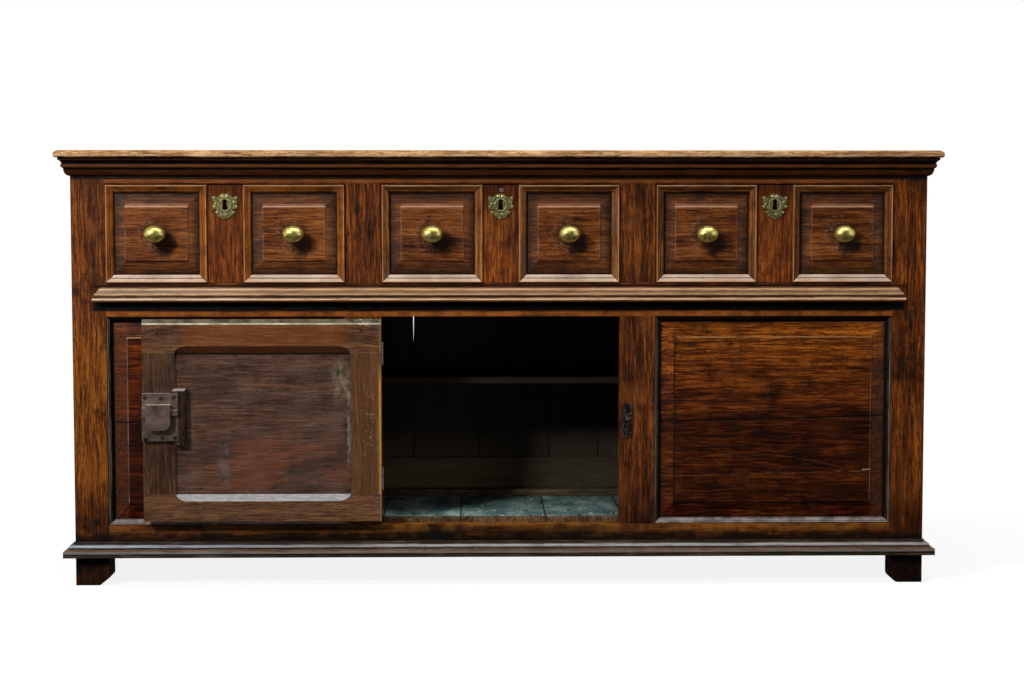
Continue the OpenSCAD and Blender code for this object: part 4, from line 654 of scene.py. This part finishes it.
# Drawer fronts: an oak board carries an upright middle strip and two raised square fields, each in
# a mitred frame of moulding. Hands have rubbed dark rings round the knobs, and their nails the wood.
names = ("left", "centre", "right")
front_low, front_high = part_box("centre_drawer_front")
knob_radius = 0.022
knob_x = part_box("centre_drawer_knobs")[1].x - knob_radius
strip_half = 2 * knob_x - front_high.x
mid_z, half_h = (front_low.z + front_high.z) / 2, (front_high.z - front_low.z) / 2
half_panel = (front_high.x - strip_half) / 2
field_x, field_z = half_panel - 0.0405, half_h - 0.045
moulding_w = 0.0165
ridge_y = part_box("centre_drawer_moulding")[0].y
over_tones = ((176, 102, 36), (92, 55, 25), (92, 55, 25))
upright_tones = ((176, 100, 30), (104, 84, 62), (112, 70, 36))
for number, side in enumerate(names):
    centre = (number - 1) * pitch
    f = oak(f"{side}_drawer_oak",
            lambda f: f.choose(abs(f.x - centre).above(strip_half), f.lie("yxz"), f.lie("yzx")),
            lambda f: (f.x - centre + strip_half).above(0) + (f.x - centre - strip_half).above(0),
            ((52, 21, 6), (112, 58, 22), (160, 98, 46)), grime=0.5, seed=20.0 + 3 * number)
    on_panel = abs(f.x - centre).above(strip_half)
    on_strip = 1 - on_panel
    x, z = abs(f.x - centre) - knob_x, f.z - mid_z
    across = f.x - centre - ((f.x - centre).above(0.0) * 2 - 1) * knob_x
    rim_x, rim_z = abs(x) - field_x, abs(z) - field_z
    bevel_x, bevel_z = rim_x.fade(0.0, 0.002) * on_panel, rim_z.fade(0.0, 0.002) * on_panel

    # the middle strip, the bevels, and painted shade beside the mouldings
    f.gain(on_strip, 0.95, 0.8, 0.6)
    f.gain(on_strip * f.z.fade(drawer_z + 0.1, drawer_z + 0.03) * f.cloud(0.04), 1.8, 1.7, 1.2)
    f.gain(on_strip * f.z.fade(drawer_z + 0.12, drawer_z + 0.2), 0.5, 0.45, 0.4)
    f.tint(bevel_x * (f.cloud(0.05) * 0.35 + 0.1), colour(58, 46, 42))
    f.tint(bevel_z * z.above(0.0) * f.cloud(0.04) * 0.5, colour(74, 52, 44))
    # a painted highlight along the top of the field, and painted shade on the lower bevel
    field_top_highlight = rim_z.near(0.002, 0.001, 0.005) * rim_x.below(0.0) * z.above(0.0)
    f.tint(field_top_highlight * (f.cloud(0.03) * 0.3 + 0.3), colour(186, 136, 110))
    f.tint(bevel_z * z.below(0.0) * 0.35, colour(60, 34, 14))
    foot = (abs(x) - (half_panel - moulding_w)).most(abs(z) - (half_h - moulding_w))
    f.gain(foot.fade(-0.02, -0.002) * on_panel, 0.45, 0.5, 0.6)
    f.tint(foot.fade(-0.0028, -0.0006) * on_panel * 0.9, colour(6, 3, 2))

    # the step round the field: painted highlights on top and at the sides, painted shadow below
    edge = rim_x.most(rim_z).near(0.0, 0.0006, 0.0009) * on_panel
    f.tint(edge * z.above(field_z - 0.002) * 0.75, colour(214, 166, 132))
    f.tint(edge * abs(x).above(field_x - 0.002) * f.cloud(0.04) * 0.6, colour(150, 122, 104))
    f.tint(edge * z.below(0.002 - field_z) * 0.85, colour(8, 4, 2))

    # the dark ring round the knob, its painted shadow below right, and the marks of finger nails beside it
    ragged = (f.noise(f.place, (0.014,) * 3, 4, 0.6) - 0.5) * 0.03
    from_knob = f.length(x, 0.0, z) + ragged
    knob_shadow = f.length(across - 0.016, 0.0, z + 0.022) + ragged
    f.tint(knob_shadow.fade(0.034, 0.014) * 0.9, colour(12, 6, 3))
    f.tint(from_knob.fade(0.04, 0.02) * 0.5, colour(40, 18, 8))
    scrapes = f.noise(f.vector(f.x, 0.0, f.z * 4 + f.x), (0.012, 1.0, 0.0045), 2, 0.5).fade(0.6, 0.66)
    scrapes = scrapes * from_knob.near(0.03, 0.008, 0.005) * across.fade(0.012, -0.01)
    f.tint(scrapes * 0.7, colour(176, 150, 134))
    if side == "centre":
        repair = f.x.near(0.0015, 0.004, 0.0015) * f.z.near(0.8266, 0.003, 0.0015)
        f.tint(repair * 0.8, colour(122, 112, 104))
    f.height = f.height - scrapes * 0.5
    f.close(f"{side}_drawer_front", specular_ior_level=0.2)

    f = mitred(f"{side}_drawer_moulding_oak", lambda f: (abs(f.x - centre) - knob_x, f.z - mid_z),
               half_panel, half_h, ((44, 18, 4), (110, 58, 20), (178, 110, 46)),
               grime=0.5, seed=30.0 + 3 * number)
    # painted shade deep in the moulding, behind its ridge
    f.tint(f.y.fade(ridge_y + 0.0075, ridge_y + 0.011) * 0.9, colour(6, 3, 2))
    f.tint(f.over * f.cloud(0.04) * 0.6, colour(*over_tones[number]))
    f.tint((f.left + f.right) * f.cloud(0.05) * 0.5, colour(*upright_tones[number]))
    # bottom strip pale where it faces up, from dust and painted sheen; painted shade on faces looking down
    f.tint(f.under * f.facing_up().fade(-0.3, 0.4) * (f.cloud(0.04) * 0.3 + 0.65), colour(214, 190, 170))
    f.tint(f.facing_up().fade(-0.3, -0.6) * 0.6, colour(28, 14, 6))
    rim = (half_panel - abs(abs(f.x - centre) - knob_x)).least(half_h - abs(f.z - mid_z))
    # painted highlights on the outer bead and the top strip's edge, and a painted line of shade further in
    f.tint(rim.near(0.0022, 0.0008, 0.0008) * (f.cloud(0.05) * 0.5 + 0.3), colour(206, 142, 92))
    f.tint(rim.near(0.0094, 0.0003, 0.0007) * 0.6, colour(30, 15, 7))
    f.tint(rim.near(0.0006, 0.0005, 0.0006) * f.over * (f.cloud(0.03) * 0.5 + 0.3), colour(190, 156, 124))
    f.close(f"{side}_drawer_moulding", depth=0.0003, specular_ior_level=0.15)

# Drawer boxes: sides and back of thin quartered oak, nailed to the front over a bottom that slides
# on the runners. They are paler than the outside and grey where they rub.
boxes = oak("drawer_box_oak", lambda f: f.lie("zxy"), lambda f: (f.x / 0.235).round(),
            ((70, 50, 30), (122, 94, 62), (166, 134, 94)), grime=0.4, seed=13.0, waxed=0.0)
boxes.close(*(f"{side}_drawer_{part}" for side in names for part in ("sides", "bottom")),
            specular_ior_level=0.15)

# Knobs and escutcheons: cast brass. The egg knobs are polished by hands, with small dents and a
# dull shoulder, and the relief plates are a paler, greener metal pinned over the keyholes.


def metal(name, tones, spot, roughness, edge=0.0004):
    """Old metal: dull patches, fine scratches and small dents over one metal colour."""
    f = Finish(name)
    cloud = f.noise(f.place, (spot,) * 3, 4, 0.62)
    f.colour = f.ramp(cloud, (0.32, colour(*tones[0])), (0.5, colour(*tones[1])), (0.7, colour(*tones[2])))
    f.edges(edge)
    scratch = f.noise(f.place, (0.0006, 0.02, 0.004), 2, 0.6).fade(0.6, 0.75)
    f.rough = roughness + cloud * 0.25 + scratch * 0.1
    f.height = cloud * 0.7 - scratch * 0.3
    return f


knobs = metal("knob_brass", ((150, 132, 60), (200, 184, 100), (226, 214, 148)), 0.007, 0.2)
shoulder = knobs.y.fade(face - 0.018, face - 0.006)
knobs.tint(shoulder * 0.75, colour(92, 74, 34))
knobs.rough = knobs.rough + shoulder * 0.2
knobs.close(*(f"{side}_drawer_knobs" for side in names), depth=0.0003, strength=0.5, metallic=0.8)
plates = metal("escutcheon_brass", ((126, 116, 62), (186, 176, 112), (230, 224, 176)), 0.005, 0.3)
hollows, relief = plates.y.fade(face - 0.0031, face - 0.0024), plates.y.fade(face - 0.0028, face - 0.0032)
plates.tint(hollows * (plates.cloud(0.006) * 0.4 + 0.4), colour(104, 100, 52))
plates.tint(relief * plates.cloud(0.005) * 0.7, colour(236, 230, 190))
plates.close(*(f"{side}_escutcheon" for side in names), depth=0.0005, strength=0.7, metallic=0.85)

# Door: seen from its inside, which was never waxed. Upright stiles stand between two rails that run
# across, with stopped chamfers along the panel and a bevel worn white on the top edge.
rail_low, rail_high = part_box("door_rails")
door_tones = ((40, 26, 17), (84, 56, 38), (130, 94, 66))


def dry(f, amount):
    """Dry, dusty wood without wax, with pale scuffs."""
    f.tint(f.noise(f.place, (0.07, 0.07, 0.045), 5, 0.65).fade(0.42, 0.7) * amount, colour(112, 98, 90))


def waxed_outside(f):
    """The outer side of the door, turned away in the photograph, is waxed like the front frame."""
    outside = f.y.fade(rail_high.y - 0.013, rail_high.y - 0.011)
    f.gain(outside, 0.85, 0.45, 0.14)
    f.rough = f.rough * (1 - outside * 0.4)


def scuffs(f, where, tone):
    """Pale specks and short scratches inside a mask."""
    rubbed = f.noise(f.place, (0.006, 0.006, 0.004), 4, 0.7).fade(0.56, 0.66)
    f.tint(rubbed * where, colour(*tone))


stiles = oak("door_stile_oak", lambda f: f.lie("yxz"), lambda f: f.x.above(door_x), door_tones,
             grime=0.5, seed=40.0, waxed=0.3)
dry(stiles, 0.25)
stiles.tint(stiles.x.above(door_x) * 0.45, colour(98, 58, 24))
stiles.tint(stiles.x.below(door_x) * 0.5, colour(40, 21, 12))
arris = stiles.x.fade(rail_high.x - 0.008, rail_high.x - 0.002) * stiles.z.fade(0.5, 0.4)
stiles.tint(arris * (stiles.cloud(0.05) * 0.4 + 0.5), colour(206, 148, 78))
latch_side = stiles.x.near(rail_high.x - 0.03, 0.012, 0.02) * stiles.z.near(0.34, 0.03, 0.08)
scuffs(stiles, latch_side * stiles.cloud(0.02) * 0.6, (176, 156, 112))
waxed_outside(stiles)
stiles.close("door_lock_stile", "door_hinge_stile", specular_ior_level=0.1)

cross = oak("door_rail_oak", lambda f: f.lie("yzx"), lambda f: f.z.above(door_z),
            ((50, 30, 18), (96, 62, 40), (142, 98, 62)), grime=0.4, seed=41.0, waxed=0.3)
dry(cross, 0.2)
warm_part = (-0.35 - cross.x).fade(-0.06, 0.0) * (cross.x + 0.68).fade(-0.02, 0.06)
cross.tint(cross.z.above(door_z) * warm_part * 0.35, colour(150, 84, 32))
cross.tint(cross.z.below(0.3) * 0.2, colour(70, 56, 46))
inner = cross.y.fade(rail_low.y + 0.014, rail_low.y + 0.012)

# the worn bevel on the top edge and the pale line under it
bevel = cross.z.fade(rail_high.z - 0.0115, rail_high.z - 0.0105) * inner
grey_wood = cross.ramp(cross.cloud(0.04), (0.2, colour(66, 63, 50)), (0.8, colour(112, 107, 86)))
cross.tint(bevel * 0.85, grey_wood)
pale_line = inner * cross.z.near(rail_high.z - 0.009, 0.0012, 0.001)
cross.tint(pale_line * (cross.cloud(0.03) * 0.5 + 0.35), colour(222, 212, 186))
by_top = cross.z.fade(rail_high.z - 0.018, rail_high.z - 0.01)
scuffs(cross, by_top * cross.x.near(rail_high.x - 0.026, 0.022, 0.01), (214, 212, 196))

# the chamfers: pale on the lower rail, where dust lies and painted sheen falls, and dark on the upper one
chamfered = cross.y.fade(rail_low.y + 0.0003, rail_low.y + 0.0006) * inner
low_rail = cross.z.below(rail_low.z + 0.058) * cross.z.above(rail_low.z + 0.03)
high_rail = cross.z.above(rail_high.z - 0.075) * cross.z.below(rail_high.z - 0.02)
streaks = cross.noise(cross.place, (0.02, 0.004, 0.003), 3, 0.6).fade(0.35, 0.65)
chamfer_dust_and_sheen = cross.ramp(streaks, (0.0, colour(158, 154, 158)), (1.0, colour(190, 188, 192)))
cross.tint(chamfered * low_rail * 0.9, chamfer_dust_and_sheen)
cross.tint(chamfered * high_rail * 0.8, colour(54, 25, 11))
cross.tint(cross.x.fade(rail_high.x - 0.004, rail_high.x - 0.001) * 0.3, colour(200, 150, 90))
waxed_outside(cross)
cross.close("door_rails", specular_ior_level=0.1)

# Door panel: one wide board with the grain level, its inside left flat from the plane. It is grey
# brown, streaked where damp ran down, cracked along the bottom and rubbed white by the hinge stile.
board = oak("door_panel_oak", lambda f: f.lie("yzx"), one_board, ((50, 32, 26), (82, 57, 46), (112, 82, 66)),
            grime=0.3, wear=0.2, seed=42.0, waxed=0.25)
dry(board, 0.25)
panel_low, panel_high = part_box("door_panel")
sloping = board.vector(board.x + board.z * 1.4, 0.0, board.z - board.x * 0.32)
figure = board.noise(sloping, (0.3, 1.0, 0.045), 4, 0.6)
board.tint(figure.fade(0.47, 0.64) * 0.5, colour(56, 46, 42))
red_patch = board.z.near(panel_low.z + 0.075, 0.03, 0.05) * board.x.near(-0.47, 0.1, 0.1)
board.tint(red_patch * figure.fade(0.6, 0.4) * 0.5, colour(118, 66, 42))

# fine cracks that fan out from the bottom, and one check across the grain
fan_x = (board.x + 0.462) / ((board.z - panel_low.z) * 2.2 + 0.8)
fan = board.noise(board.vector(fan_x, 0.0, board.z), (0.0042, 1.0, 0.25), 1, 0.5).fade(0.64, 0.7)
fan = fan * board.z.fade(panel_low.z + 0.1, panel_low.z + 0.05) * board.x.near(-0.445, 0.08, 0.05)
fan = fan * board.cloud(0.05)
board.tint(fan * 0.85, colour(18, 12, 10))
check = (board.z + board.x * 0.03 - figure * 0.02).near(panel_low.z + 0.1, 0.0005, 0.0006)
check = check * board.x.near(door_x, 0.1, 0.05)
board.tint(check * board.cloud(0.03) * 0.7, colour(24, 15, 12))

# white rubbing and dust beside the hinge stile, a drip by the lock, and the shadow under the rail
grit = board.noise(board.place, (0.012, 0.012, 0.024), 5, 0.66)
smudge = board.x.near(panel_high.x - 0.024, 0.004, 0.03) * board.z.near(panel_high.z - 0.065, 0.01, 0.05)
board.tint(smudge * grit.fade(0.36, 0.66) * 0.45, colour(160, 152, 128))
edge_line = board.x.near(panel_high.x - 0.011, 0.0024, 0.003) * board.z.near(panel_high.z - 0.15, 0.06, 0.05)
board.tint(edge_line * grit.fade(0.4, 0.6) * 0.6, colour(140, 138, 134))
board.tint(board.x.fade(panel_low.x + 0.0105, panel_low.x + 0.0085) * 0.6, colour(128, 116, 110))
drip = board.x.near(-0.577, 0.005, 0.012) * board.z.near(panel_low.z + 0.07, 0.03, 0.03)
board.tint(drip * grit.fade(0.36, 0.66) * 0.35, colour(112, 106, 112))
board.tint(board.z.fade(panel_high.z - 0.0125, panel_high.z - 0.0105) * 0.9, colour(6, 4, 3))
board.height = board.height - fan - check
board.gain(1.0, 1.15, 1.12, 1.1)
waxed_outside(board)
board.close("door_panel", "door_moulding", specular_ior_level=0.1)

# Lock: a chamfered oak block packs out a wrought iron plate and case, nailed to the inside of the
# door. Rust has made the iron the same dull brown as the wood.
block = oak("block_oak", lambda f: f.lie("yxz"), one_board, ((34, 24, 18), (64, 47, 37), (100, 78, 62)),
            grime=0.5, wear=0.8, seed=43.0, waxed=0.2)
# painted shade on the block's right side, and painted light on its top faces
block.gain(block.x.fade(-0.6665, -0.6655), 0.42, 0.42, 0.44)
block.tint(block.facing_up().fade(0.3, 0.6) * 0.7, colour(160, 150, 144))
block.close("lock_block", specular_ior_level=0.1)
lock = metal("lock_iron", ((66, 50, 42), (92, 76, 67), (114, 98, 90)), 0.02, 0.5, edge=0.0008)
# painted highlight on the iron's faces that look up
lock.tint(lock.facing_up().fade(0.5, 0.9) * 0.75, colour(208, 200, 192))
lock.tint(lock.specks(0.009, 0.16) * 0.6, colour(48, 34, 28))
lock.close("lock_plate", "lock_case", "lock_bolt",
           *(f"{side}_drawer_{part}" for side in names for part in ("lock", "bolt")),
           depth=0.00012, strength=0.4, metallic=0.25, specular_ior_level=0.3)

# Hinges and turn button: black wrought iron. The button turns on one screw, and the leaves of the
# hinges are paler on their faces that look to the front.
fitting = metal("black_iron", ((14, 13, 14), (42, 39, 38), (122, 116, 112)), 0.006, 0.25, edge=0.0009)
fitting.close("hinge_pins", "turn_button", "turn_button_screw", depth=0.0003, strength=0.5, metallic=0.6)
leaves = metal("hinge_iron", ((40, 38, 36), (74, 70, 66), (118, 112, 104)), 0.01, 0.4, edge=0.0005)
leaves.tint(leaves.facing(1).fade(-0.6, -0.9) * 0.6, colour(176, 168, 154))
leaves.close("hinge_frame_leaves", "hinge_door_leaves", depth=0.0003, strength=0.5, metallic=0.4)

# Nails: hand-forged iron nails hold the lock plate and pin the door's top rail, and smaller brads
# hold the strips on the drawers. Their heads were hammered to blunt facets and have rusted dark.


def nails(name, node, radius, spots, body):
    """One head, made once and copied to each spot (x and z) on the front of a CAD node."""
    bpy.ops.object.select_all(action="DESELECT")
    bpy.ops.mesh.primitive_cylinder_add(vertices=8, radius=radius, depth=radius * 0.5,
                                        rotation=(math.radians(90), 0, 0))
    head = bpy.context.object
    bpy.ops.object.transform_apply(location=False)
    for facet in head.data.polygons:
        facet.select = facet.normal.y < -0.9
    bpy.ops.object.mode_set(mode="EDIT")
    bpy.ops.mesh.select_mode(type="FACE")
    bpy.ops.mesh.inset(thickness=radius * 0.3, depth=radius * 0.16)
    bpy.ops.mesh.inset(thickness=radius * 0.35, depth=radius * 0.08)
    bpy.ops.object.mode_set(mode="OBJECT")
    worn = head.modifiers.new("worn", "BEVEL")
    worn.width, worn.segments = radius * 0.08, 2
    bpy.ops.object.modifier_apply(modifier="worn")
    heads = []
    for x, z in spots:
        copy = head.copy()
        copy.data = head.data.copy()
        copy.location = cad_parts[node].ray_cast((x, face - 0.2, z), (0, 1, 0))[1]
        scene.collection.objects.link(copy)
        heads.append(copy)
    bpy.data.objects.remove(head)
    bpy.ops.object.select_all(action="DESELECT")
    for copy in heads:
        copy.select_set(True)
    bpy.context.view_layer.objects.active = heads[0]
    bpy.ops.object.join()
    bpy.ops.object.transform_apply()
    bpy.ops.object.shade_smooth_by_angle(angle=math.radians(35))
    piece = bpy.context.object
    piece.name = name
    piece.data.materials.clear()
    piece.data.materials.append(nail_iron.material)
    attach(piece, body)


nail_iron = metal("nail_iron", ((20, 15, 13), (40, 31, 27), (84, 72, 64)), 0.003, 0.5, edge=0.0003)
nail_iron.close(depth=0.0002, metallic=0.4, specular_ior_level=0.2)
plate_spots = ((-0.7351, 0.3992), (-0.703, 0.3975), (-0.6763, 0.3995),
               (-0.7351, 0.3126), (-0.7003, 0.3152), (-0.6745, 0.3156))
nails("lock_plate_nails", "lock_plate", 0.0032, plate_spots, "door")
nails("door_rail_nails", "door_rails", 0.0028, ((-0.7104, 0.5333), (-0.2896, 0.5372)), "door")
brad_z = 0.644
for number, side in enumerate(names):
    spots = [((number - 1) * pitch + sign * knob_x + step, brad_z)
             for sign in (-1, 1) for step in (-0.055, -0.006, 0.072)]
    nails(f"{side}_drawer_brads", f"{side}_drawer_moulding", 0.0014, spots, f"{side}_drawer")
